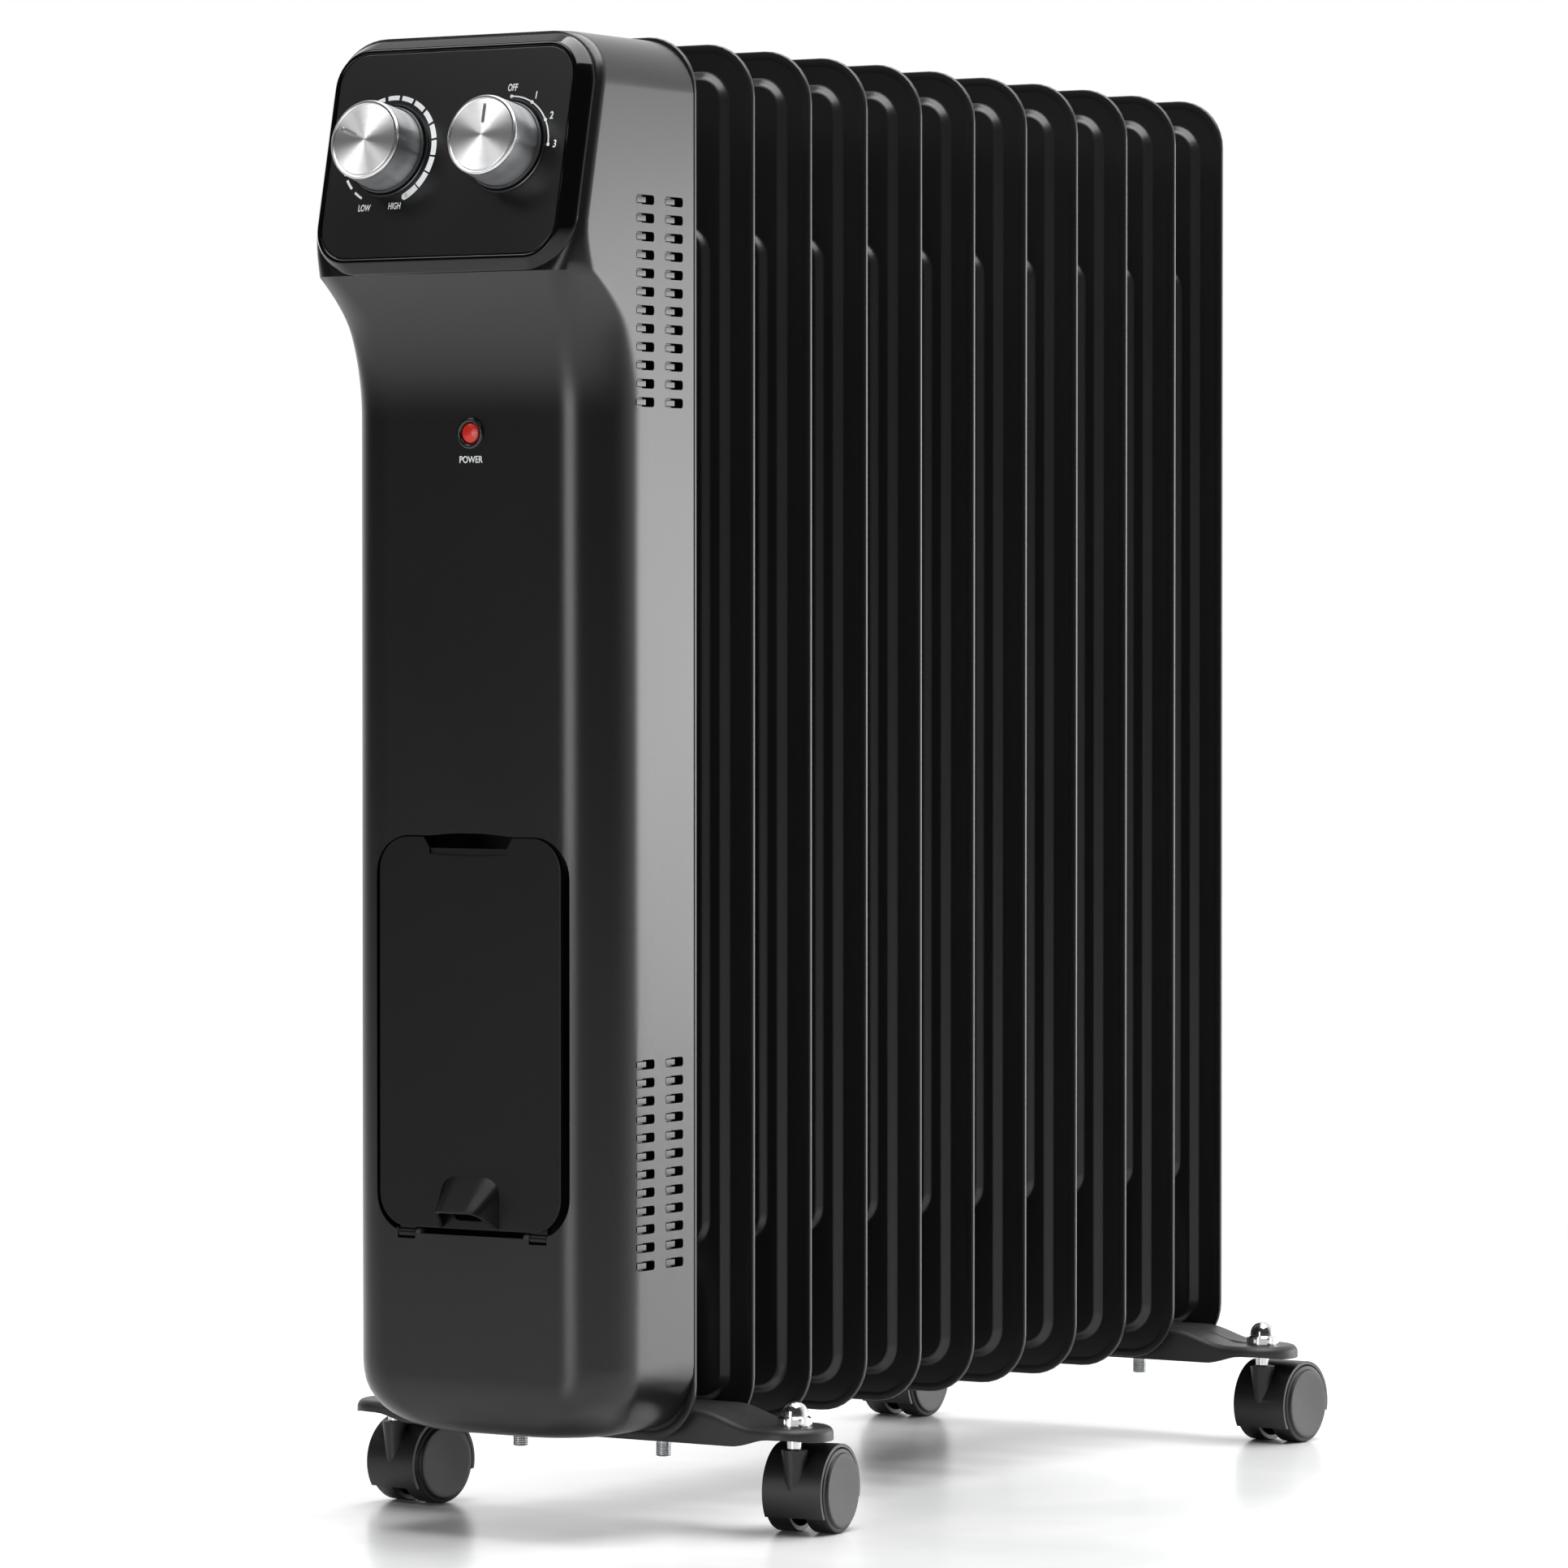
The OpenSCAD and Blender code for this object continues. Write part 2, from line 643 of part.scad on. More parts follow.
module compartment_door() {
    color([0.1, 0.1, 0.1]) difference() {
        union() {
            placed() translate([door_play, 0, 0]) {
                difference() {
                    upright(front_y, front_y + door_t) door_outline(door_w, door_h, door_corner);
                    // finger notch
                    upright(front_y - 1, front_y + door_t + 1) translate([0, door_z + door_h])
                        polygon([[-23.2, 0.1], [-19.7, -4.7], [19.7, -4.7], [23.2, 0.1]]);
                }
                translate([0, front_y, door_z]) difference() {
                    hood_form(0);
                    translate([0, 1.2, 0]) hood_form(1.6);
                    // the hood is open underneath
                    translate([-hood_base, -hood_out - 1, -6]) rotate([0, 0, 0])
                        cube([2 * hood_base, hood_out + 1, 6]);
                    translate([0, -hood_out - 1, 0]) rotate([-52, 0, 0])
                        translate([-hood_base, -8, -20]) cube([2 * hood_base, 26, 20]);
                }
            }
            // hinge lugs
            for (sx = [-1, 1]) hinge_side(sx) {
                rod_x(lug_r, -lug_w / 2, lug_w / 2);
                translate([-lug_w / 2, -0.6, 0]) cube([lug_w, 0.6 + lug_r, 5]);
            }
        }
        for (sx = [-1, 1]) hinge_side(sx) rod_x(pin_r + fit, -12, 12);
        // way through the door into the hood
        placed() translate([door_play, 0, 0]) upright(front_y - 2, front_y + door_t + 1)
            translate([0, door_z + 8.6]) rounded(16, 10, 3);
    }
}

module cord_gland() {
    color([0.05, 0.05, 0.05]) placed() translate([gland_x, box_y + box_d, gland_z]) difference() {
        union() {
            rod_y(gland_r + 4.5, -2, 0);
            rod_y(gland_r + 2.5, -1, gland_len - 2);
        }
        rod_y(gland_r, -3, gland_len);
    }
}

// ---------- inside the housing ----------

terminal_z = box_high + 34;
module terminal_block() {
    color("ivory") placed() translate([0, shield_y, terminal_z]) difference() {
        translate([-26, -16, -10]) cube([52, 16, 20]);
        for (x = [-17, 0, 17]) translate([x, 0, 0]) rod_y(3, -17, -10);
        for (x = [-17, 0, 17]) translate([x, -7, 0]) cylinder(r = 2.2, h = 30, center = true);
    }
}

// tip-over switch: a weight hanging in a frame, free to swing when the heater leans
swing_z = box_low - 12;
swing_y = -34;
swing_pin = 1.5;
module at_swing() { placed() translate([-16, swing_y, swing_z]) children(); }

module tilt_switch_body() {
    color("ivory") at_swing() {
        difference() {
            union() {
                for (y = [-9, 7]) translate([-14, y, -6]) cube([28, 2, 14]);
                translate([-14, -9, 6]) cube([28, 18, 3]);
            }
        }
        rod_y(swing_pin, -8, 8);
        // arm to the shield
        translate([-10, 9, 2]) cube([20, shield_y - swing_y - 9, 4]);
    }
}

module tilt_switch_pendulum() {
    color("dimgray") at_swing() difference() {
        union() {
            rod_y(4, -5, 5);
            translate([-1.5, -2, -30]) cube([3, 4, 28]);
            translate([0, 0, -38]) cylinder(r = 7, h = 12);
        }
        rod_y(swing_pin + fit, -6, 6);
    }
}

module thermal_cutout() {
    color("gray") placed() translate([44, shield_y, terminal_z - 2]) {
        rod_y(8, -6, 0);
        translate([-11, -1, -4]) cube([22, 1, 8]);
        rod_y(5, -10, -5);
    }
}

module housing_screws() {
    color("silver") placed() for (sx = [-1, 1], z = [boss_low, boss_high])
        translate([sx * boss_x, shield_y, z]) {
            rod_y(screw_r - 0.3, -12, shield_t);
            rod_y(2.9, shield_t, shield_t + 1.8);
        }
}

// ---------- feet ----------

pad_under = foot_z - foot_t;
skirt_z = foot_z - 5.8;                      // lower edge of the rim at the ends
crown_z = lower_neck_z - neck_r - 0.1;       // top of the raised middle, under the neck
crown_x = 66;
ramp_x = 90;

// side view of the bracket: raised middle, flat pads, a rim that is deeper in the middle
function foot_top(drop) = [[-foot_len, foot_z - drop], [-ramp_x, foot_z - drop], [-crown_x, crown_z - drop],
    [crown_x, crown_z - drop], [ramp_x, foot_z - drop], [foot_len, foot_z - drop]];
module foot_plan(inset, low, high) {
    translate([0, 0, low]) linear_extrude(high - low) rounded(foot_len - 2 * inset, foot_w - 2 * inset,
        foot_w / 2 - inset - 0.01);
}

module foot(y) {
    color([0.07, 0.07, 0.07]) placed() translate([0, y, 0]) difference() {
        intersection() {
            foot_plan(0, 0, 100);
            upright(-foot_w, foot_w) polygon(concat(foot_top(0), [
                [foot_len, skirt_z], [112, skirt_z + 1.2], [98, skirt_z + 1.2], [84, skirt_z - 2.4],
                [-84, skirt_z - 2.4], [-98, skirt_z + 1.2], [-112, skirt_z + 1.2], [-foot_len, skirt_z]
            ]));
        }
        intersection() {
            foot_plan(foot_t, 0, 100);
            upright(-foot_w, foot_w) polygon(concat(foot_top(foot_t), [[foot_len, 0], [-foot_len, 0]]));
        }
        for (sx = [-1, 1]) {
            translate([sx * stem_x, 0, 0]) cylinder(r = thread_r + 0.1, h = 100);
            translate([sx * ubolt_x, 0, 0]) cylinder(r = ubolt_r + 0.2, h = 100);
        }
    }
}

module front_foot() { foot(front_foot_y); }
module rear_foot() { foot(rear_foot_y); }

ubolt_low = 29.5;
module at_feet() { for (y = [front_foot_y, rear_foot_y]) placed() translate([0, y, 0]) children(); }

module u_bolts() {
    bend_z = lower_neck_z + neck_r + ubolt_r - ubolt_x;
    color("silver") at_feet() {
        translate([0, 0, bend_z]) rotate([90, 0, 0])
            rotate_extrude(angle = 180) translate([ubolt_x, 0]) circle(ubolt_r);
        for (sx = [-1, 1]) translate([sx * ubolt_x, 0, ubolt_low]) cylinder(r = ubolt_r,
            h = bend_z - ubolt_low);
    }
}

nut_h = 5;
module u_bolt_nuts() {
    color("silver") at_feet() for (sx = [-1, 1])
        translate([sx * ubolt_x, 0, crown_z - foot_t - nut_h]) difference() {
            cylinder(r = 5.77, h = nut_h, $fn = 6);
            translate([0, 0, -1]) cylinder(r = ubolt_r, h = nut_h + 2);
        }
}

module at_stems() { for (c = corners) placed() translate([c[0], c[1], 0]) children(); }

acorn_hex = 3.5;
acorn_r = 5.7;
module acorn_nuts() {
    color("silver") at_stems() translate([0, 0, foot_z]) difference() {
        union() {
            cylinder(r = 7.5, h = acorn_hex, $fn = 6);
            translate([0, 0, acorn_hex]) cylinder(r = acorn_r, h = 1.5);
            translate([0, 0, acorn_hex + 1.5]) difference() {
                sphere(acorn_r);
                translate([0, 0, -2 * acorn_r]) cylinder(r = 2 * acorn_r, h = 2 * acorn_r);
            }
        }
        translate([0, 0, -1]) cylinder(r = thread_r, h = 8);
    }
}

module caster_stems() {
    color("silver") at_stems() {
        translate([0, 0, stem_low]) cylinder(r = stem_r, h = pad_under - 1.2 - stem_low);
        translate([0, 0, boss_top + gap]) cylinder(r = collar_r, h = pad_under - 1.2 - boss_top - gap);
        translate([0, 0, pad_under - 1.2]) cylinder(r = 5.5, h = 1.2);
        translate([0, 0, pad_under]) cylinder(r = thread_r, h = foot_t + 7);
    }
}

// ---------- casters ----------

module at_caster(i) {
    placed() translate([corners[i][0], corners[i][1], 0]) rotate([0, 0, corners[i][2]]) children();
}

module at_axle(i) { at_caster(i) translate([0, trail, wheel_r]) children(); }

module caster_hood(i) {
    color([0.06, 0.06, 0.06]) difference() {
        union() {
            at_axle(i) rod_x(hood_r, -hood_half, hood_half);
            at_caster(i) translate([0, 0, stem_low - 3]) cylinder(r1 = 3.9, r2 = 5.6,
                h = boss_top - stem_low + 3);
        }
        // rooms for the two wheels
        at_axle(i) for (sx = [-1, 1])
            rod_x(hood_r - hood_wall, sx > 0 ? web : -hood_half - 8, sx > 0 ? hood_half + 8 : -web);
        // open underneath: the rim ends lower in front than behind
        at_axle(i) rotate([10, 0, 0]) translate([-30, -40, -48]) cube([60, 80, 40.5]);
        at_axle(i) rod_x(axle_r, -20, 20);
        at_caster(i) translate([0, 0, stem_low - 0.5]) cylinder(r = stem_r + fit, h = 40);
    }
}

module caster_axle(i) {
    half = web + wheel_w - 2;
    color("silver") at_axle(i) rod_x(axle_r, -half, half);
}

// one wheel: a tread and a flat outer disc, hollow towards the hood's web
module wheel(i, side) {
    inner = web + 0.5;
    color([0.09, 0.09, 0.09]) at_axle(i) rotate([0, side > 0 ? 0 : 180, 0]) difference() {
        union() {
            rod_x(wheel_r, inner, inner + wheel_w - 1.2);
            rod_x(wheel_r - 2.2, inner, inner + wheel_w);
        }
        difference() {
            rod_x(wheel_r - 2.2, inner - eps, inner + wheel_w - 2.4);
            rod_x(4.5, inner - 2 * eps, inner + wheel_w);
        }
        rod_x(axle_r + fit, inner - eps, web + wheel_w - 2 + gap);
    }
}

fin(0);  // fin_01
fin(1);  // fin_02
fin(2);  // fin_03
fin(3);  // fin_04
fin(4);  // fin_05
fin(5);  // fin_06
fin(6);  // fin_07
fin(7);  // fin_08
fin(8);  // fin_09
fin(9);  // fin_10
fin(10);  // fin_11
section_necks();
heating_elements();
element_flange();
oil_plug();
heat_shield();
control_housing();
face_bezel();
face_panel();
thermostat_body();
thermostat_shaft();
thermostat_knob();
thermostat_cap();
selector_body();
selector_shaft();
selector_knob();
selector_cap();
lamp_bezel();
lamp_lens();
cord_compartment();
compartment_door();
door_pins();
cord_gland();
terminal_block();
tilt_switch_body();
tilt_switch_pendulum();
thermal_cutout();
housing_screws();
front_foot();
rear_foot();
u_bolts();
u_bolt_nuts();
acorn_nuts();
caster_stems();
caster_hood(0);  // caster_hood_fr
caster_hood(1);  // caster_hood_fl
caster_hood(2);  // caster_hood_rr
caster_hood(3);  // caster_hood_rl
caster_axle(0);  // caster_axle_fr
caster_axle(1);  // caster_axle_fl
caster_axle(2);  // caster_axle_rr
caster_axle(3);  // caster_axle_rl
wheel(0, 1);  // wheel_fr_outer
wheel(0, -1);  // wheel_fr_inner
wheel(1, -1);  // wheel_fl_outer
wheel(1, 1);  // wheel_fl_inner
wheel(2, 1);  // wheel_rr_outer
wheel(2, -1);  // wheel_rr_inner
wheel(3, -1);  // wheel_rl_outer
wheel(3, 1);  // wheel_rl_inner
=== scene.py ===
"""Oil filled radiator heater: the looks of its pieces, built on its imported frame. Sizes are in metres."""

import json
import math

import bmesh
import bpy
from mathutils import Matrix, Vector


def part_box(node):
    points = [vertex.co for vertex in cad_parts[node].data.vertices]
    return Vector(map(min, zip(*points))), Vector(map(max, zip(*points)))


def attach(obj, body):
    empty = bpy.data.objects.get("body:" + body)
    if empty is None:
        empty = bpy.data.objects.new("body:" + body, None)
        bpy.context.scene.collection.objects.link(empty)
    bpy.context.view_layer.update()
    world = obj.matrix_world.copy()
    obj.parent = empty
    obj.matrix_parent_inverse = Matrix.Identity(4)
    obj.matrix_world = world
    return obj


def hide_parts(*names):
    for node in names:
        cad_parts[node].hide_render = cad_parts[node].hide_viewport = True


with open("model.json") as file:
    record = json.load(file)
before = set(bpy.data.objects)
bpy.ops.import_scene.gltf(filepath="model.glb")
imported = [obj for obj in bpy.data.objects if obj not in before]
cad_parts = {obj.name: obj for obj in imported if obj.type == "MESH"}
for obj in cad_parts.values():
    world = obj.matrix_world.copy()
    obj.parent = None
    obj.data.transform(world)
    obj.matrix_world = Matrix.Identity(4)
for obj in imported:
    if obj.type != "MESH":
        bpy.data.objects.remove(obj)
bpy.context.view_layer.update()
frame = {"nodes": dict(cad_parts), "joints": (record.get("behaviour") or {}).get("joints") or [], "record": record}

bl_info = {
    "name": "Oil filled radiator heater",
    "version": (1, 0, 0),
    "blender": (4, 5, 0),
    "location": "3D View > Sidebar > Heater",
    "description": "Builds the looks of an oil filled radiator heater on its packed frame",
    "category": "Object",
}

MM = 0.001
JOINTS = {joint["name"]: joint for joint in frame["joints"]}


# ---------- where things are ----------

def middle(node):
    low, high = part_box(node)
    return (low + high) / 2


PITCH = middle("fin_03").y - middle("fin_02").y
FIRST = middle("fin_02").y - PITCH            # the first section's middle plane
FIN_LOW, FIN_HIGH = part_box("fin_02")
FRONT = FIRST - 66.2 * MM                     # flat front of the housing, below the head
RIM = FIRST - 1.6 * MM                        # rear rim of the housing
TURN_AXIS = Vector(JOINTS["thermostat_turn"]["axis"])
TILT = math.atan2(TURN_AXIS.z, -TURN_AXIS.y)
FACE_UP = Vector((0, math.sin(TILT), math.cos(TILT)))
DIAL_Z = 47.8 * MM
THERMOSTAT = Vector(JOINTS["thermostat_turn"]["pos_m"])
SELECTOR = Vector(JOINTS["selector_turn"]["pos_m"])
FACE_FOOT = (THERMOSTAT + SELECTOR) / 2 - FACE_UP * DIAL_Z
# face frame: X across, Y into the housing, Z up the face
FACE = Matrix.Translation(FACE_FOOT) @ Matrix.Rotation(-TILT, 4, "X")


def dial(centre):
    return Matrix.Translation(centre) @ Matrix.Rotation(-TILT, 4, "X")


# ---------- settings a user would change ----------

class HeaterFinish(bpy.types.PropertyGroup):
    """Colours and finishes"""
    enamel: bpy.props.FloatVectorProperty(name="Enamel", description="Colour of the sections and the feet",
        default=(0.0115, 0.0115, 0.012), size=3, min=0, max=1, subtype="COLOR")
    housing: bpy.props.FloatVectorProperty(name="Housing", description="Colour of the moulded housing",
        default=(0.0045, 0.0045, 0.0044), size=3, min=0, max=1, subtype="COLOR")
    gloss: bpy.props.FloatVectorProperty(name="Control face", description="Colour of the glossy face",
        default=(0.0015, 0.0015, 0.0017), size=3, min=0, max=1, subtype="COLOR")
    print_ink: bpy.props.FloatVectorProperty(name="Print", description="Colour of the dial marks",
        default=(0.78, 0.8, 0.82), size=3, min=0, max=1, subtype="COLOR")
    lamp: bpy.props.FloatVectorProperty(name="Lamp", description="Colour of the power lamp",
        default=(0.5, 0.012, 0.006), size=3, min=0, max=1, subtype="COLOR")
    backdrop: bpy.props.FloatProperty(name="Backdrop",
                                      description="Brightness of the studio behind the heater",
        default=1.0, min=0, max=3)


class HeaterShape(bpy.types.PropertyGroup):
    """Sizes of the drawn detail"""
    hem: bpy.props.FloatProperty(name="Hem", description="Width of the hem round a section",
        default=3.2 * MM, min=1 * MM, max=8 * MM, unit="LENGTH")
    edge_radius: bpy.props.FloatProperty(name="Housing edge",
                                         description="Radius of the housing's front edges",
        default=25 * MM, min=10 * MM, max=30 * MM, unit="LENGTH")
    vent_rows: bpy.props.IntProperty(name="Vent rows", description="Rows of vents in each group",
        default=12, min=4, max=14)
    vent_pitch: bpy.props.FloatProperty(name="Vent pitch", description="Distance between rows of vents",
        default=7.55 * MM, min=6 * MM, max=10 * MM, unit="LENGTH")
    dial_segments: bpy.props.IntProperty(name="Dial segments",
                                         description="Segments of the thermostat's band",
        default=17, min=8, max=30)
    cord_hood: bpy.props.FloatProperty(name="Cord hood",
                                       description="How far the hood on the door stands out",
        default=12.5 * MM, min=6 * MM, max=16 * MM, unit="LENGTH")


def finish_settings():
    return bpy.context.scene.heater_finish


def shape_settings():
    return bpy.context.scene.heater_shape


# ---------- mesh helpers ----------

def piece(name, points, faces):
    mesh = bpy.data.meshes.new(name)
    mesh.from_pydata([tuple(p) for p in points], [], faces)
    mesh.validate()
    obj = bpy.data.objects.new(name, mesh)
    bpy.context.scene.collection.objects.link(obj)
    return obj


def tidy(obj, outward=True, merge=1e-6):
    """Merges doubles and points the faces outward."""
    bm = bmesh.new()
    bm.from_mesh(obj.data)
    bmesh.ops.remove_doubles(bm, verts=bm.verts, dist=merge)
    bmesh.ops.dissolve_degenerate(bm, dist=1e-7, edges=bm.edges)
    if outward:
        bmesh.ops.recalc_face_normals(bm, faces=bm.faces)
    bm.to_mesh(obj.data)
    bm.free()
    return obj


def baked(obj):
    """Turns the object's modifiers into a plain mesh."""
    bpy.context.view_layer.update()
    graph = bpy.context.evaluated_depsgraph_get()
    mesh = bpy.data.meshes.new_from_object(obj.evaluated_get(graph), preserve_all_data_layers=True,
                                           depsgraph=graph)
    old = obj.data
    obj.modifiers.clear()
    obj.data = mesh
    if old.users == 0:
        bpy.data.meshes.remove(old)
    return obj


def smooth(obj, angle=35, weighted=True):
    obj.data.shade_smooth()
    obj.data.set_sharp_from_angle(angle=math.radians(angle))
    if weighted:
        mod = obj.modifiers.new("Flats", "WEIGHTED_NORMAL")
        mod.keep_sharp = True
        mod.weight = 60
        baked(obj)
    return obj


def rounded(obj, width, segments=3, angle=40):
    """Rounds every sharp edge."""
    mod = obj.modifiers.new("Round", "BEVEL")
    mod.width = width
    mod.segments = segments
    mod.limit_method = "ANGLE"
    mod.angle_limit = math.radians(angle)
    mod.harden_normals = False
    mod.miter_outer = "MITER_ARC"
    return baked(obj)


def carve(obj, tool, keep_tool=False):
    """Cuts the tool's shape out of the object."""
    mod = obj.modifiers.new("Carve", "BOOLEAN")
    mod.operation = "DIFFERENCE"
    mod.solver = "EXACT"
    mod.object = tool
    baked(obj)
    if not keep_tool:
        scrap(tool)
    return obj


def scrap(obj):
    mesh = obj.data
    bpy.data.objects.remove(obj)
    if mesh.users == 0:
        bpy.data.meshes.remove(mesh)


def joined(name, objs):
    """One object from several, keeping their materials."""
    mats = []
    bm = bmesh.new()
    for obj in objs:
        start = len(mats)
        mats += [m for m in obj.data.materials] or [None]
        copy = obj.data.copy()
        copy.transform(obj.matrix_world)
        for poly in copy.polygons:
            poly.material_index += start
        bm.from_mesh(copy)
        bpy.data.meshes.remove(copy)
    mesh = bpy.data.meshes.new(name)
    for m in mats:
        mesh.materials.append(m)
    bm.to_mesh(mesh)
    bm.free()
    out = bpy.data.objects.new(name, mesh)
    bpy.context.scene.collection.objects.link(out)
    for obj in list(objs):
        scrap(obj)
    return out


def placed(obj, matrix):
    obj.data.transform(matrix)
    if matrix.determinant() < 0:
        obj.data.flip_normals()
    return obj


def rect_loop(w, h, r, steps=8, cx=0.0, cz=0.0):
    """Rounded rectangle in XZ, anticlockwise seen from the front."""
    r = min(r, w / 2 - 1e-6, h / 2 - 1e-6)
    loop = []
    for sx, sz, start in ((1, -1, -90), (1, 1, 0), (-1, 1, 90), (-1, -1, 180)):
        for i in range(steps + 1):
            a = math.radians(start + 90 * i / steps)
            loop.append((cx + sx * (w / 2 - r) + r * math.cos(a), cz + sz * (h / 2 - r) + r * math.sin(a)))
    return loop


def skin(name, loops, cap_first=True, cap_last=True, closed=True):
    """A surface through loops of equal length."""
    n = len(loops[0])
    points = [p for loop in loops for p in loop]
    faces = []
    last = n if closed else n - 1
    for j in range(len(loops) - 1):
        for i in range(last):
            k = (i + 1) % n
            faces.append((j * n + i, j * n + k, (j + 1) * n + k, (j + 1) * n + i))
    if cap_first:
        faces.append(tuple(reversed(range(n))))
    if cap_last:
        faces.append(tuple(range((len(loops) - 1) * n, len(loops) * n)))
    return tidy(piece(name, points, faces))


def turned(name, profile, steps=64, matrix=Matrix.Identity(4)):
    """A turned piece: profile is (radius, height) pairs, and its axis points out of the control face."""
    loops = []
    for r, h in profile:
        r = max(r, 1e-5)
        loops.append([matrix @ Vector((r * math.sin(2 * math.pi * i / steps), -h,
                                       r * math.cos(2 * math.pi * i / steps))) for i in range(steps)])
    return skin(name, loops)


def block(name, low, high, matrix=Matrix.Identity(4)):
    (a, b, c), (d, e, f) = low, high
    points = [matrix @ Vector(p) for p in ((a, b, c), (d, b, c), (d, e, c), (a, e, c),
                                           (a, b, f), (d, b, f), (d, e, f), (a, e, f))]
    return tidy(piece(name, points, [(0, 3, 2, 1), (4, 5, 6, 7), (0, 1, 5, 4), (1, 2, 6, 5), (2, 3, 7, 6),
                                     (3, 0, 4, 7)]))


def prism(name, outline, low, high, matrix=Matrix.Identity(4)):
    """An XZ outline pulled along Y."""
    loops = [[matrix @ Vector((x, y, z)) for x, z in outline] for y in (low, high)]
    return skin(name, loops)


def cad_copy(name, node, merge=1e-6):
    """A merged copy of a CAD node, with its flat faces made whole."""
    mesh = frame["nodes"][node].data.copy()
    mesh.materials.clear()
    mesh.name = name
    obj = bpy.data.objects.new(name, mesh)
    bpy.context.scene.collection.objects.link(obj)
    bm = bmesh.new()
    bm.from_mesh(mesh)
    for attribute in list(bm.loops.layers.float_vector):
        bm.loops.layers.float_vector.remove(attribute)
    bmesh.ops.remove_doubles(bm, verts=bm.verts, dist=merge)
    bmesh.ops.dissolve_limit(bm, angle_limit=math.radians(0.6), verts=bm.verts, edges=bm.edges)
    bm.to_mesh(mesh)
    bm.free()
    return obj


def settle(obj, body, slot, material, *nodes):
    """Gives a finished piece its material and its body, and hides the CAD nodes it stands for."""
    if material is not None and (len(obj.data.materials) == 0 or obj.data.materials[0] is None):
        obj.data.materials.clear()
        obj.data.materials.append(material)
    if len(obj.data.polygons) == 0:
        raise RuntimeError(obj.name + " has no faces")
    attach(obj, body)
    if nodes:
        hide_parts(*nodes)
    return obj


def body_of(node):
    for name, members in frame["record"]["behaviour"]["bodies"].items():
        if node in members:
            return name
    raise RuntimeError("no body holds " + node)


# ---------- repeated pieces: a Geometry Nodes grid ----------

def grid_tree():
    """Copies of one piece in rows and columns."""
    tree = bpy.data.node_groups.get("heater_grid")
    if tree:
        return tree
    tree = bpy.data.node_groups.new("heater_grid", "GeometryNodeTree")
    face = tree.interface
    face.new_socket("Geometry", in_out="INPUT", socket_type="NodeSocketGeometry")
    face.new_socket("Part", in_out="INPUT", socket_type="NodeSocketObject")
    face.new_socket("Columns", in_out="INPUT", socket_type="NodeSocketInt")
    face.new_socket("Column step", in_out="INPUT", socket_type="NodeSocketVector")
    face.new_socket("Rows", in_out="INPUT", socket_type="NodeSocketInt")
    face.new_socket("Row step", in_out="INPUT", socket_type="NodeSocketVector")
    face.new_socket("Start", in_out="INPUT", socket_type="NodeSocketVector")
    face.new_socket("Material", in_out="INPUT", socket_type="NodeSocketMaterial")
    face.new_socket("Geometry", in_out="OUTPUT", socket_type="NodeSocketGeometry")
    nodes, links = tree.nodes, tree.links
    given = nodes.new("NodeGroupInput")
    across = nodes.new("GeometryNodeMeshLine")
    along = nodes.new("GeometryNodeMeshLine")
    spread = nodes.new("GeometryNodeInstanceOnPoints")
    real = nodes.new("GeometryNodeRealizeInstances")
    part = nodes.new("GeometryNodeObjectInfo")
    put = nodes.new("GeometryNodeInstanceOnPoints")
    solid = nodes.new("GeometryNodeRealizeInstances")
    paint = nodes.new("GeometryNodeSetMaterial")
    out = nodes.new("NodeGroupOutput")
    for line in (across, along):
        line.mode = "OFFSET"
        line.count_mode = "TOTAL"
    links.new(given.outputs["Columns"], across.inputs["Count"])
    links.new(given.outputs["Column step"], across.inputs["Offset"])
    links.new(given.outputs["Start"], across.inputs["Start Location"])
    links.new(given.outputs["Rows"], along.inputs["Count"])
    links.new(given.outputs["Row step"], along.inputs["Offset"])
    links.new(across.outputs["Mesh"], spread.inputs["Points"])
    links.new(along.outputs["Mesh"], spread.inputs["Instance"])
    links.new(spread.outputs["Instances"], real.inputs["Geometry"])
    links.new(given.outputs["Part"], part.inputs["Object"])
    links.new(real.outputs["Geometry"], put.inputs["Points"])
    links.new(part.outputs["Geometry"], put.inputs["Instance"])
    links.new(put.outputs["Instances"], solid.inputs["Geometry"])
    links.new(solid.outputs["Geometry"], paint.inputs["Geometry"])
    links.new(given.outputs["Material"], paint.inputs["Material"])
    links.new(paint.outputs["Geometry"], out.inputs["Geometry"])
    return tree


def grid(name, part, columns, column_step, rows, row_step, start, material):
    """A plain mesh of the part's copies."""
    tree = grid_tree()
    obj = piece(name, [(0, 0, 0)], [])
    mod = obj.modifiers.new("Grid", "NODES")
    mod.node_group = tree
    values = {"Part": part, "Columns": columns, "Column step": column_step, "Rows": rows,
              "Row step": row_step,
              "Start": start, "Material": material}
    for item in tree.interface.items_tree:
        if item.item_type == "SOCKET" and item.in_out == "INPUT" and item.name in values:
            mod[item.identifier] = values[item.name]
    return baked(obj)


# ---------- materials ----------

def nodes_group(name, inputs, outputs):
    group = bpy.data.node_groups.new(name, "ShaderNodeTree")
    for label, kind, value in inputs:
        socket = group.interface.new_socket(label, in_out="INPUT", socket_type=kind)
        if value is not None:
            socket.default_value = value
    for label, kind in outputs:
        group.interface.new_socket(label, in_out="OUTPUT", socket_type=kind)
    return group, group.nodes.new("NodeGroupInput"), group.nodes.new("NodeGroupOutput")


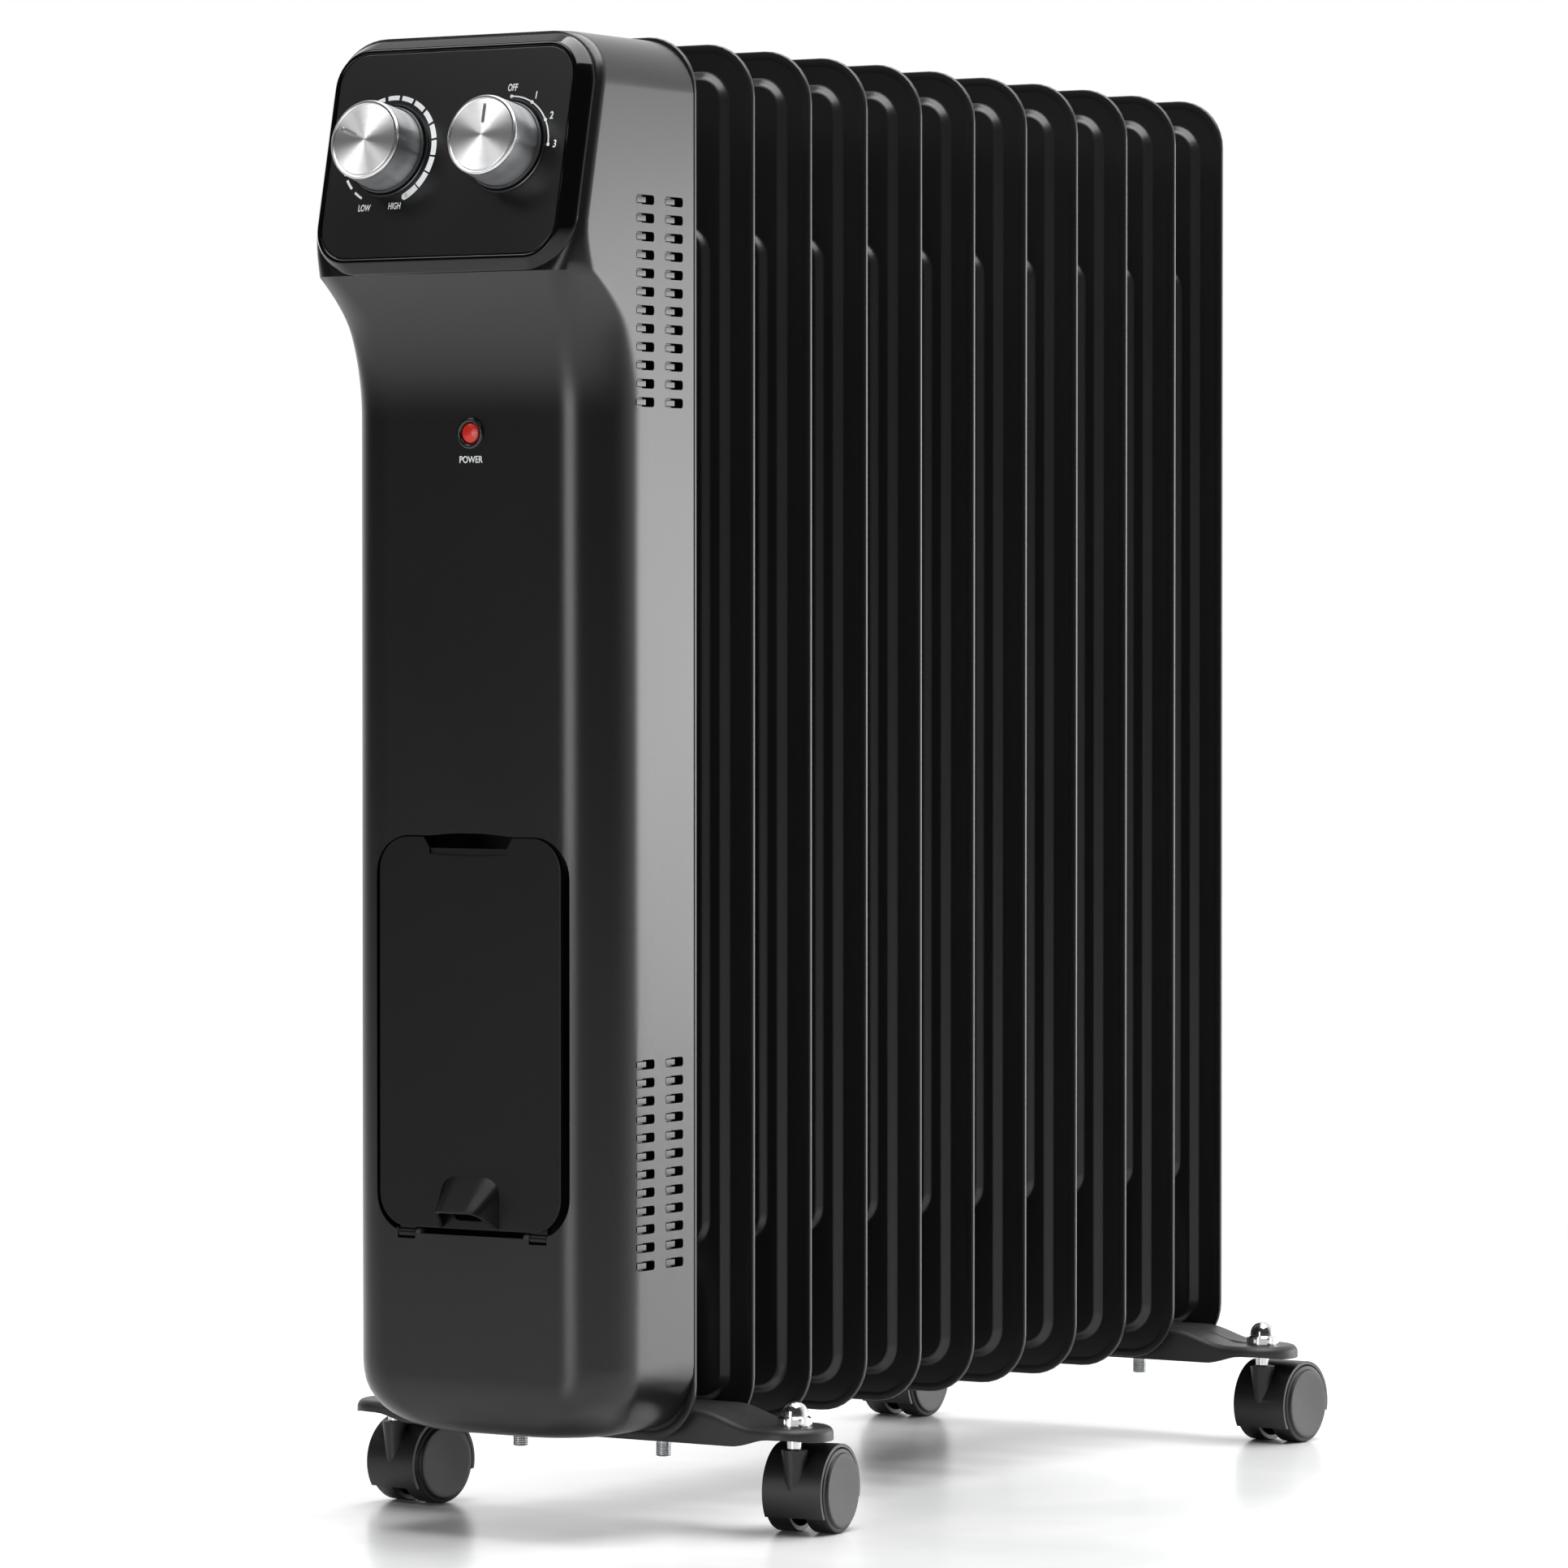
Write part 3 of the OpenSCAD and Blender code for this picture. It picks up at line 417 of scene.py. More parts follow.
def moulded_grain():
    """Fine grain of a moulded or sprayed surface, with a slow drift and masks for colour and gloss."""
    group = bpy.data.node_groups.get("moulded_grain")
    if group:
        return group
    group, given, out = nodes_group("moulded_grain",
        [("Vector", "NodeSocketVector", None), ("Grain scale", "NodeSocketFloat", 1500.0),
         ("Drift scale", "NodeSocketFloat", 9.0)],
        [("Height", "NodeSocketFloat"), ("Drift", "NodeSocketFloat"), ("Speck", "NodeSocketFloat")])
    nodes, links = group.nodes, group.links
    grain = nodes.new("ShaderNodeTexNoise")
    grain.inputs["Detail"].default_value = 3
    drift = nodes.new("ShaderNodeTexNoise")
    drift.inputs["Detail"].default_value = 4
    links.new(given.outputs["Vector"], grain.inputs["Vector"])
    links.new(given.outputs["Vector"], drift.inputs["Vector"])
    links.new(given.outputs["Grain scale"], grain.inputs["Scale"])
    links.new(given.outputs["Drift scale"], drift.inputs["Scale"])
    speck = nodes.new("ShaderNodeTexVoronoi")
    speck.inputs["Scale"].default_value = 160
    links.new(given.outputs["Vector"], speck.inputs["Vector"])
    dots = nodes.new("ShaderNodeMapRange")
    dots.inputs["From Min"].default_value = 0.045
    dots.inputs["From Max"].default_value = 0.02
    links.new(speck.outputs["Distance"], dots.inputs["Value"])
    thin = nodes.new("ShaderNodeMath")
    thin.operation = "GREATER_THAN"
    thin.inputs[1].default_value = 0.93
    shade = nodes.new("ShaderNodeSeparateColor")
    links.new(speck.outputs["Color"], shade.inputs["Color"])
    links.new(shade.outputs["Red"], thin.inputs[0])
    both = nodes.new("ShaderNodeMath")
    both.operation = "MULTIPLY"
    links.new(dots.outputs["Result"], both.inputs[0])
    links.new(thin.outputs[0], both.inputs[1])
    links.new(grain.outputs["Fac"], out.inputs["Height"])
    links.new(drift.outputs["Fac"], out.inputs["Drift"])
    links.new(both.outputs[0], out.inputs["Speck"])
    return group


def spun_grooves():
    """Normal of a turned metal face: fine rings round a centre, in a plane tilted with the control face."""
    group = bpy.data.node_groups.get("spun_grooves")
    if group:
        return group
    group, given, out = nodes_group("spun_grooves",
        [("Centre", "NodeSocketVector", None), ("Axis", "NodeSocketVector", None),
         ("Depth", "NodeSocketFloat", 0.2)],
        [("Normal", "NodeSocketVector"), ("Ring", "NodeSocketFloat"),
         ("Across", "NodeSocketVector")])
    nodes, links = group.nodes, group.links
    place = nodes.new("ShaderNodeTexCoord")

    def vector(kind, a, b=None):
        node = nodes.new("ShaderNodeVectorMath")
        node.operation = kind
        for i, value in enumerate((a, b)):
            if value is not None:
                links.new(value, node.inputs[i])
        return node

    offset = vector("SUBTRACT", place.outputs["Object"], given.outputs["Centre"])
    along = vector("DOT_PRODUCT", offset.outputs["Vector"], given.outputs["Axis"])
    lift = nodes.new("ShaderNodeVectorMath")
    lift.operation = "SCALE"
    links.new(given.outputs["Axis"], lift.inputs[0])
    links.new(along.outputs["Value"], lift.inputs["Scale"])
    radial = vector("SUBTRACT", offset.outputs["Vector"], lift.outputs["Vector"])
    size = vector("LENGTH", radial.outputs["Vector"])
    unit = vector("NORMALIZE", radial.outputs["Vector"])
    rings = nodes.new("ShaderNodeTexNoise")
    rings.noise_dimensions = "1D"
    rings.inputs["Scale"].default_value = 5200
    rings.inputs["Detail"].default_value = 2
    links.new(size.outputs["Value"], rings.inputs["W"])
    swing = nodes.new("ShaderNodeMapRange")
    swing.inputs["From Min"].default_value = 0.25
    swing.inputs["From Max"].default_value = 0.75
    swing.inputs["To Min"].default_value = -1
    swing.inputs["To Max"].default_value = 1
    links.new(rings.outputs["Fac"], swing.inputs["Value"])
    push = nodes.new("ShaderNodeMath")
    push.operation = "MULTIPLY"
    links.new(swing.outputs["Result"], push.inputs[0])
    links.new(given.outputs["Depth"], push.inputs[1])
    turn = nodes.new("ShaderNodeVectorTransform")
    turn.vector_type = "NORMAL"
    turn.convert_from = "OBJECT"
    turn.convert_to = "WORLD"
    links.new(unit.outputs["Vector"], turn.inputs["Vector"])
    lean = nodes.new("ShaderNodeVectorMath")
    lean.operation = "SCALE"
    links.new(turn.outputs["Vector"], lean.inputs[0])
    links.new(push.outputs[0], lean.inputs["Scale"])
    shape = nodes.new("ShaderNodeNewGeometry")
    total = vector("ADD", shape.outputs["Normal"], lean.outputs["Vector"])
    final = vector("NORMALIZE", total.outputs["Vector"])
    links.new(final.outputs["Vector"], out.inputs["Normal"])
    links.new(rings.outputs["Fac"], out.inputs["Ring"])
    links.new(turn.outputs["Vector"], out.inputs["Across"])
    return group


def surface(name, colour, roughness, metallic=0.0, grain=1500.0, bump=0.00002, drift=9.0, colour_swing=0.25,
            gloss_swing=0.08, coat=0.0, coat_roughness=0.1, specular=0.5, speck=0.0):
    """A finish with grain, slow colour drift and uneven gloss."""
    old = bpy.data.materials.get(name)
    if old:
        return old
    mat = bpy.data.materials.new(name)
    mat.use_nodes = True
    nodes, links = mat.node_tree.nodes, mat.node_tree.links
    bsdf = nodes["Principled BSDF"]
    place = nodes.new("ShaderNodeTexCoord")
    texture = nodes.new("ShaderNodeGroup")
    texture.node_tree = moulded_grain()
    texture.inputs["Grain scale"].default_value = grain
    texture.inputs["Drift scale"].default_value = drift
    links.new(place.outputs["Object"], texture.inputs["Vector"])
    ramp = nodes.new("ShaderNodeMix")
    ramp.data_type = "RGBA"
    ramp.inputs["A"].default_value = tuple(c * (1 - colour_swing) for c in colour) + (1,)
    ramp.inputs["B"].default_value = tuple(min(1, c * (1 + colour_swing)) for c in colour) + (1,)
    links.new(texture.outputs["Drift"], ramp.inputs["Factor"])
    last = ramp.outputs["Result"]
    if speck:
        dust = nodes.new("ShaderNodeMix")
        dust.data_type = "RGBA"
        dust.inputs["B"].default_value = tuple(min(1, c * 4 + 0.05) for c in colour) + (1,)
        gain = nodes.new("ShaderNodeMath")
        gain.operation = "MULTIPLY"
        gain.inputs[1].default_value = speck
        links.new(texture.outputs["Speck"], gain.inputs[0])
        links.new(gain.outputs[0], dust.inputs["Factor"])
        links.new(last, dust.inputs["A"])
        last = dust.outputs["Result"]
    links.new(last, bsdf.inputs["Base Color"])
    gloss = nodes.new("ShaderNodeMapRange")
    gloss.inputs["To Min"].default_value = max(0.02, roughness - gloss_swing)
    gloss.inputs["To Max"].default_value = roughness + gloss_swing
    links.new(texture.outputs["Drift"], gloss.inputs["Value"])
    links.new(gloss.outputs["Result"], bsdf.inputs["Roughness"])
    dent = nodes.new("ShaderNodeBump")
    dent.inputs["Distance"].default_value = bump
    dent.inputs["Strength"].default_value = 1.0
    links.new(texture.outputs["Height"], dent.inputs["Height"])
    links.new(dent.outputs["Normal"], bsdf.inputs["Normal"])
    bsdf.inputs["Metallic"].default_value = metallic
    bsdf.inputs["Specular IOR Level"].default_value = specular
    if coat:
        bsdf.inputs["Coat Weight"].default_value = coat
        bsdf.inputs["Coat Roughness"].default_value = coat_roughness
    return mat


def spun_metal(name, centre, depth, roughness, colour=(0.82, 0.82, 0.83)):
    """Turned aluminium: rings that spread the light across the grooves."""
    mat = bpy.data.materials.new(name)
    mat.use_nodes = True
    nodes, links = mat.node_tree.nodes, mat.node_tree.links
    bsdf = nodes["Principled BSDF"]
    bsdf.inputs["Metallic"].default_value = 1.0
    grooves = nodes.new("ShaderNodeGroup")
    grooves.node_tree = spun_grooves()
    grooves.inputs["Centre"].default_value = centre
    grooves.inputs["Axis"].default_value = TURN_AXIS
    grooves.inputs["Depth"].default_value = depth
    links.new(grooves.outputs["Normal"], bsdf.inputs["Normal"])
    links.new(grooves.outputs["Across"], bsdf.inputs["Tangent"])
    bsdf.inputs["Anisotropic"].default_value = 0.85
    tone = nodes.new("ShaderNodeMix")
    tone.data_type = "RGBA"
    tone.inputs["A"].default_value = tuple(c * 0.9 for c in colour) + (1,)
    tone.inputs["B"].default_value = tuple(min(1, c * 1.08) for c in colour) + (1,)
    links.new(grooves.outputs["Ring"], tone.inputs["Factor"])
    links.new(tone.outputs["Result"], bsdf.inputs["Base Color"])
    rough = nodes.new("ShaderNodeMapRange")
    rough.inputs["To Min"].default_value = roughness - 0.05
    rough.inputs["To Max"].default_value = roughness + 0.06
    links.new(grooves.outputs["Ring"], rough.inputs["Value"])
    links.new(rough.outputs["Result"], bsdf.inputs["Roughness"])
    return mat


def finishes(key):
    """The heater's finishes by name."""
    look = finish_settings()
    made = {
        "enamel": lambda: surface("satin_enamel", look.enamel, 0.32, grain=900, bump=0.000012,
                                  colour_swing=0.2,
                                  gloss_swing=0.05, specular=0.5),
        "foot": lambda: surface("foot_enamel", (0.004, 0.004, 0.0042), 0.42, specular=0.12, grain=700,
                                bump=0.00002, colour_swing=0.3,
                                gloss_swing=0.08),
        "housing": lambda: surface("textured_housing", look.housing, 0.27, grain=1900, bump=0.00002,
                                   drift=7,
                                   colour_swing=0.12, gloss_swing=0.04, speck=0.5),
        "door": lambda: surface("door_plastic", tuple(c * 0.7 for c in look.housing), 0.36, grain=1900,
                                bump=0.00002, drift=7,
                                colour_swing=0.12, gloss_swing=0.04, speck=0.5, specular=0.26),
        "bezel": lambda: surface("gloss_bezel", look.gloss, 0.08, grain=300, bump=0.000001,
                                 colour_swing=0.2, gloss_swing=0.03,
                                 specular=0.3),
        "gloss": lambda: surface("gloss_black", look.gloss, 0.06, grain=300, bump=0.000001,
                                 colour_swing=0.2,
                                 gloss_swing=0.03, specular=0.4),
        "print": lambda: surface("dial_print", look.print_ink, 0.5, grain=2500, bump=0.000004,
                                 colour_swing=0.05),
        "core": lambda: surface("knob_core_plastic", (0.03, 0.031, 0.033), 0.4, grain=1500, bump=0.00001),
        "liner": lambda: surface("liner_plastic", (0.012, 0.012, 0.012), 0.55, grain=1200, bump=0.00003),
        "ring": lambda: surface("ring_black", (0.006, 0.006, 0.006), 0.18, grain=900, bump=0.000004),
        "lamp": lambda: surface("lamp_red", look.lamp, 0.16, grain=900, bump=0.000004, coat=0.6,
                                colour_swing=0.3),
        "caster": lambda: surface("caster_nylon", (0.009, 0.009, 0.0094), 0.42, grain=1100, bump=0.00003,
                                  colour_swing=0.3, gloss_swing=0.1, speck=0.6),
        "wheel": lambda: surface("wheel_nylon", (0.0065, 0.0065, 0.0068), 0.46, grain=900, bump=0.00003,
                                 colour_swing=0.35, gloss_swing=0.1, speck=0.6),
        "zinc": lambda: surface("bright_zinc", (0.8, 0.81, 0.82), 0.12, metallic=1.0, grain=500,
                                bump=0.000006,
                                colour_swing=0.08, gloss_swing=0.06),
        "steel": lambda: surface("plated_steel", (0.5, 0.5, 0.5), 0.3, metallic=1.0, grain=1200,
                                 bump=0.00001,
                                 colour_swing=0.2, gloss_swing=0.1),
        "sheath": lambda: surface("element_sheath", (0.32, 0.3, 0.28), 0.45, metallic=1.0, grain=900,
                                  bump=0.00002,
                                  colour_swing=0.35),
        "brass": lambda: surface("turned_brass", (0.68, 0.5, 0.22), 0.28, metallic=1.0, grain=1100,
                                 bump=0.00001,
                                 colour_swing=0.15),
        "galvanised": lambda: surface("galvanised_sheet", (0.48, 0.5, 0.51), 0.42, metallic=1.0, grain=160,
                                      bump=0.00001, drift=60, colour_swing=0.35, gloss_swing=0.12),
        "ivory": lambda: surface("ivory_moulding", (0.62, 0.57, 0.47), 0.5, grain=1300, bump=0.00002),
        "rubber": lambda: surface("gland_rubber", (0.012, 0.012, 0.012), 0.7, grain=1500, bump=0.00004),
    }
    return made[key]()


# ---------- the sections ----------

def section_loops(half, low, high, corner):
    """Loops of one pressed section from the middle of its front to the middle of its back."""
    s = shape_settings()

    def loop(side, end, radius, y):
        return [Vector((x, y, z)) for x, z in rect_loop(2 * (half - side), high - low - 2 * end, radius, 9,
                                                        0, (low + high) / 2)]

    def ramp(a, b, count):
        """Soft step from one outline to the next: side inset, end inset, corner radius, height."""
        out = []
        for i in range(count + 1):
            t = i / count
            e = t * t * (3 - 2 * t)
            out.append((a[0] + (b[0] - a[0]) * t, a[1] + (b[1] - a[1]) * t, a[2] + (b[2] - a[2]) * t,
                        a[3] + (b[3] - a[3]) * e))
        return out

    m = MM
    c = corner
    steps = ramp((22.8 * m, 79.5 * m, 9 * m, 6.5 * m), (19 * m, 75.7 * m, 13 * m, 4.0 * m), 8)
    steps += ramp((15.2 * m, 15.2 * m, 10 * m, 4.0 * m), (11.2 * m, 11.2 * m, 14 * m, 0.7 * m), 8)
    steps += [(s.hem + 0.8 * m, s.hem + 0.8 * m, c - s.hem - 0.8 * m, 0.7 * m),
              (s.hem, s.hem, c - s.hem, 0.8 * m),
              (s.hem - 0.5 * m, s.hem - 0.5 * m, c - s.hem + 0.5 * m, 1.05 * m),
              (0.9 * m, 0.9 * m, c - 0.9 * m, 1.1 * m),
              (0.35 * m, 0.35 * m, c - 0.35 * m, 1.0 * m), (0.08 * m, 0.08 * m, c - 0.08 * m, 0.7 * m),
              (0, 0, c, 0.35 * m)]
    front = [loop(a, b, r, -y) for a, b, r, y in steps]
    back = [loop(a, b, r, y) for a, b, r, y in reversed(steps)]
    return front + back


class HEATER_OT_sections(bpy.types.Operator):
    """The pressed steel sections, one behind the other"""
    bl_idname = "heater.sections"
    bl_label = "Sections"

    def execute(self, context):
        half = FIN_HIGH.x
        one = skin("section_form", section_loops(half, FIN_LOW.z, FIN_HIGH.z, 23 * MM))
        smooth(one, 30)
        enamel = finishes("enamel")
        names = [f"fin_{i:02d}" for i in range(1, 12)]
        row = grid("radiator_sections", one, len(names), (0, PITCH, 0), 1, (0, 0, 0), (0, FIRST, 0), enamel)
        scrap(one)
        low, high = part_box("fin_01")
        bush = turned("first_bush",
                      [(20 * MM, 0), (24 * MM, 0), (24 * MM, 8.2 * MM), (23.5 * MM, 8.7 * MM),
                       (20 * MM, 8.7 * MM)], 64,
                      Matrix.Translation((0, FIRST, middle("element_flange").z)))
        bush.data.materials.append(enamel)
        smooth(bush)
        settle(joined("radiator_sections", [row, bush]), "heater", "fin_enamel", enamel, *names)
        low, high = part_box("section_necks")
        radius = high.x
        profile = [(radius - 1.5 * MM, 3.4 * MM), (radius - 0.2 * MM, 3.4 * MM),
                   (radius + 0.6 * MM, 4.0 * MM)]
        profile += [(radius - 0.3 * MM * (1 - math.cos(a / 4 * math.pi)),
                     (4.6 + a * 9) * MM) for a in range(5)]
        profile += [(radius + 0.6 * MM, 41.0 * MM), (radius - 0.2 * MM, 41.6 * MM),
                    (radius - 1.5 * MM, 41.6 * MM)]
        neck = tidy(turned("neck_form", profile, 72, Matrix.Rotation(math.pi, 4, "Z")))
        smooth(neck, 40)
        necks = grid("section_necks_look", neck, 10, (0, PITCH, 0), 2, (0, 0, high.z - low.z - 2 * radius),
                     (0, FIRST, low.z + radius), enamel)
        scrap(neck)
        settle(necks, "heater", "fin_enamel", enamel, "section_necks")
        return {"FINISHED"}


# ---------- the housing ----------

HOUSE_LOW, HOUSE_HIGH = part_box("control_housing")
HALF = HOUSE_HIGH.x
HEAD_Y = (FACE @ Vector((0, 6 * MM, -3.5 * MM))).y
HEAD_Z = (FACE @ Vector((0, 6 * MM, -3.5 * MM))).z
SWEEP = 58 * MM
OVERHANG = FRONT - HEAD_Y
SWEEP_R = (SWEEP ** 2 + OVERHANG ** 2) / (2 * OVERHANG)
WALL = 2.4 * MM
CORNER_LOW = 30 * MM
CORNER_TOP = 21 * MM
TOE = 22 * MM
HEAD_EDGE = 5 * MM


def front_at(z):
    """Y of the housing's front at a height."""
    y = FRONT
    if z < HOUSE_LOW.z + TOE:
        y += TOE - math.sqrt(max(0, TOE ** 2 - (HOUSE_LOW.z + TOE - z) ** 2))
    if z > HEAD_Z - SWEEP:
        rise = min(z, HEAD_Z) - (HEAD_Z - SWEEP)
        y -= SWEEP_R - math.sqrt(SWEEP_R ** 2 - rise ** 2)
    if z > HEAD_Z:
        y += (z - HEAD_Z) * math.tan(TILT)
    return y


def narrowing(d, r):
    return 0 if d >= r else r - math.sqrt(max(0, r * r - (r - d) ** 2))


def half_at(z, y):
    """Half width of the housing; its top corners open out a little towards the sections."""
    back = min(1, max(0, (y - HEAD_Y) / (RIM - HEAD_Y)))
    return HALF - max(narrowing(z - HOUSE_LOW.z, CORNER_LOW),
                      narrowing(HOUSE_HIGH.z - z, CORNER_TOP + 3 * MM * back))


def edge_at(z):
    t = min(1, max(0, (z - HEAD_Z + 24 * MM) / (46 * MM)))
    return shape_settings().edge_radius + (HEAD_EDGE - shape_settings().edge_radius) * t * t * (3 - 2 * t)


def housing_row(z, steps=14):
    front = front_at(z)
    r = edge_at(z)
    h = half_at(z, front + r)
    r = min(r, h - 0.001)
    right = []
    for i in range(6):
        y = RIM + (front + r - RIM) * i / 6
        right.append(Vector((half_at(z, y), y, z)))
    for i in range(steps + 1):
        a = math.pi / 2 * i / steps
        right.append(Vector((h - r + r * math.cos(a), front + r - r * math.sin(a), z)))
    left = [Vector((-p.x, p.y, p.z)) for p in reversed(right)]
    return right + left


def housing_heights():
    zs = [HOUSE_LOW.z + CORNER_LOW * (1 - math.cos(math.radians(a))) for a in range(0, 90, 8)]
    straight = HEAD_Z - SWEEP - HOUSE_LOW.z - CORNER_LOW - 4 * MM
    zs += [HOUSE_LOW.z + CORNER_LOW + 2 * MM + i * straight / 10 for i in range(11)]
    zs += [HEAD_Z - SWEEP + i * SWEEP / 20 for i in range(21)]
    zs += [HEAD_Z + i * 4 * MM for i in range(1, 8)]
    top = CORNER_TOP + 3 * MM
    zs += [HOUSE_HIGH.z - top * (1 - math.cos(math.radians(a))) for a in range(88, -1, -8)]
    return sorted(set(round(z, 6) for z in zs))


def vent_grids(part, material, name, side):
    """Both groups of vents of one side, as copies of one part."""
    s = shape_settings()
    out = []
    for middle_z in (157 * MM, 512.6 * MM):
        start = (side * HALF, RIM - 36.2 * MM, middle_z - (s.vent_rows - 1) / 2 * s.vent_pitch)
        out.append(grid(name, part, 2, (0, 21.5 * MM, 0), s.vent_rows, (0, 0, s.vent_pitch), start,
                        material))
    return out


def vent_cutter():
    loop = rect_loop(13.4 * MM, 4.0 * MM, 1.3 * MM, 5)
    points = [[Vector((x, y, z)) for y, z in loop] for x in (-9 * MM, 9 * MM)]
    return skin("vent_form", points)


def vent_louvre(side):
    """The light tab set into the front part of a vent, and its sloping back wall."""
    m = MM
    tab = block("tab", (-3.0 * m, -5.3 * m, -1.25 * m), (-0.75 * m, 1.7 * m, 1.25 * m))
    rounded(tab, 0.3 * m, 2)
    wall = block("wall", (-3.6 * m, -7.6 * m, -2.6 * m), (-2.9 * m, 2.0 * m, 2.6 * m))
    both = joined("louvre_form", [tab, wall])
    if side < 0:
        placed(both, Matrix.Scale(-1, 4, (1, 0, 0)))
    smooth(both, 40)
    return both


class HEATER_OT_housing(bpy.types.Operator):
    """The moulded control housing with its vents and its openings, the power lamp's hole among them"""
    bl_idname = "heater.housing"
    bl_label = "Control housing"

    def execute(self, context):
        m = MM
        shell = skin("control_housing_look", [housing_row(z) for z in housing_heights()], closed=False)
        # open at the back: the sections' side has no wall
        mod = shell.modifiers.new("Wall", "SOLIDIFY")
        mod.thickness = WALL
        mod.offset = -1
        mod.use_even_offset = True
        mod.use_rim = True
        baked(shell)
        tidy(shell)
        opening = prism("opening", rect_loop(97 * m, 165.5 * m, 17 * m, 10, 0, 126.8 * m + 82.75 * m),
                        FRONT - 8 * m, FRONT + 9 * m)
        carve(shell, opening)
        bow = [(-22.5 * m + 45 * m * i / 16 - 1 * m,
                292.0 * m + 1.5 * m * math.sin(math.pi * i / 16)) for i in range(17)]
        carve(shell, prism("bow", bow + [(21.5 * m, 288 * m), (-23.5 * m, 288 * m)], FRONT - 3 * m,
                           FRONT + 4 * m))
        lamp = turned("lamp_way", [(5.1 * m, -9 * m), (5.1 * m, 9 * m)], 48,
                      Matrix.Translation((0, FRONT, middle("lamp_lens").z)))
        carve(shell, lamp)
        way = prism("face_way", rect_loop(107 * m, 78 * m, 9 * m, 8, 0, 46 * m), 3 * m, 13 * m, FACE)
        carve(shell, way)
        pin = Vector(JOINTS["door_swing"]["pos_m"])
        for side in (-1, 1):
            pocket = block("pocket", (side * 33 * m - 4.4 * m, pin.y - 4.4 * m, pin.z - 2.35 * m),
                           (side * 33 * m + 4.4 * m, pin.y + 4.4 * m, pin.z + 2.35 * m))
            carve(shell, pocket)
        housing = finishes("housing")
        tabs = []
        for side in (-1, 1):
            cutter = vent_cutter()
            for slots in vent_grids(cutter, housing, "vent_slots", side):
                carve(shell, slots)
            scrap(cutter)
            louvre = vent_louvre(side)
            tabs += vent_grids(louvre, housing, "vent_louvres", side)
            scrap(louvre)
        rounded(shell, 0.5 * m, 2, 55)
        smooth(shell, 38)
        shell.data.materials.clear()
        shell.data.materials.append(housing)
        bosses = []
        for side in (-1, 1):
            for z, y in ((HOUSE_LOW.z + 30 * m, FRONT + 22 * m), (HOUSE_HIGH.z - 28 * m, HEAD_Y + 26 * m)):
                x = side * (HALF - 11.5 * m)
                boss = turned("boss", [(1.2 * m, 0), (4.5 * m, 0), (4.3 * m, FIRST - 9.5 * m - y)], 32,
                              Matrix.Translation((x, FIRST - 9.5 * m, z)))
                rib = block("rib", (min(x, side * (HALF - 2 * m)), y + 4 * m, z - 1 * m),
                            (max(x, side * (HALF - 2 * m)), FIRST - 9.5 * m, z + 1 * m))
                for part in (boss, rib):
                    part.data.materials.append(housing)
                    smooth(part)
                bosses += [boss, rib]
        settle(joined("control_housing_look", [shell] + bosses), "heater", "housing_plastic", housing,
               "control_housing")
        settle(joined("vent_louvres", tabs), "heater", "housing_plastic", housing)
        return {"FINISHED"}


# ---------- the control face ----------

FACE_W, FACE_H, FACE_R = 121.4 * MM, 92 * MM, 16 * MM


def face_loop(grow_side, grow_low, grow_high, radius, y, steps=12):
    w = FACE_W + 2 * grow_side
    h = FACE_H + grow_low + grow_high
    return [FACE @ Vector((x, y, z)) for x, z in rect_loop(w, h, radius, steps, 0,
                                                           FACE_H / 2 + (grow_high - grow_low) / 2)]


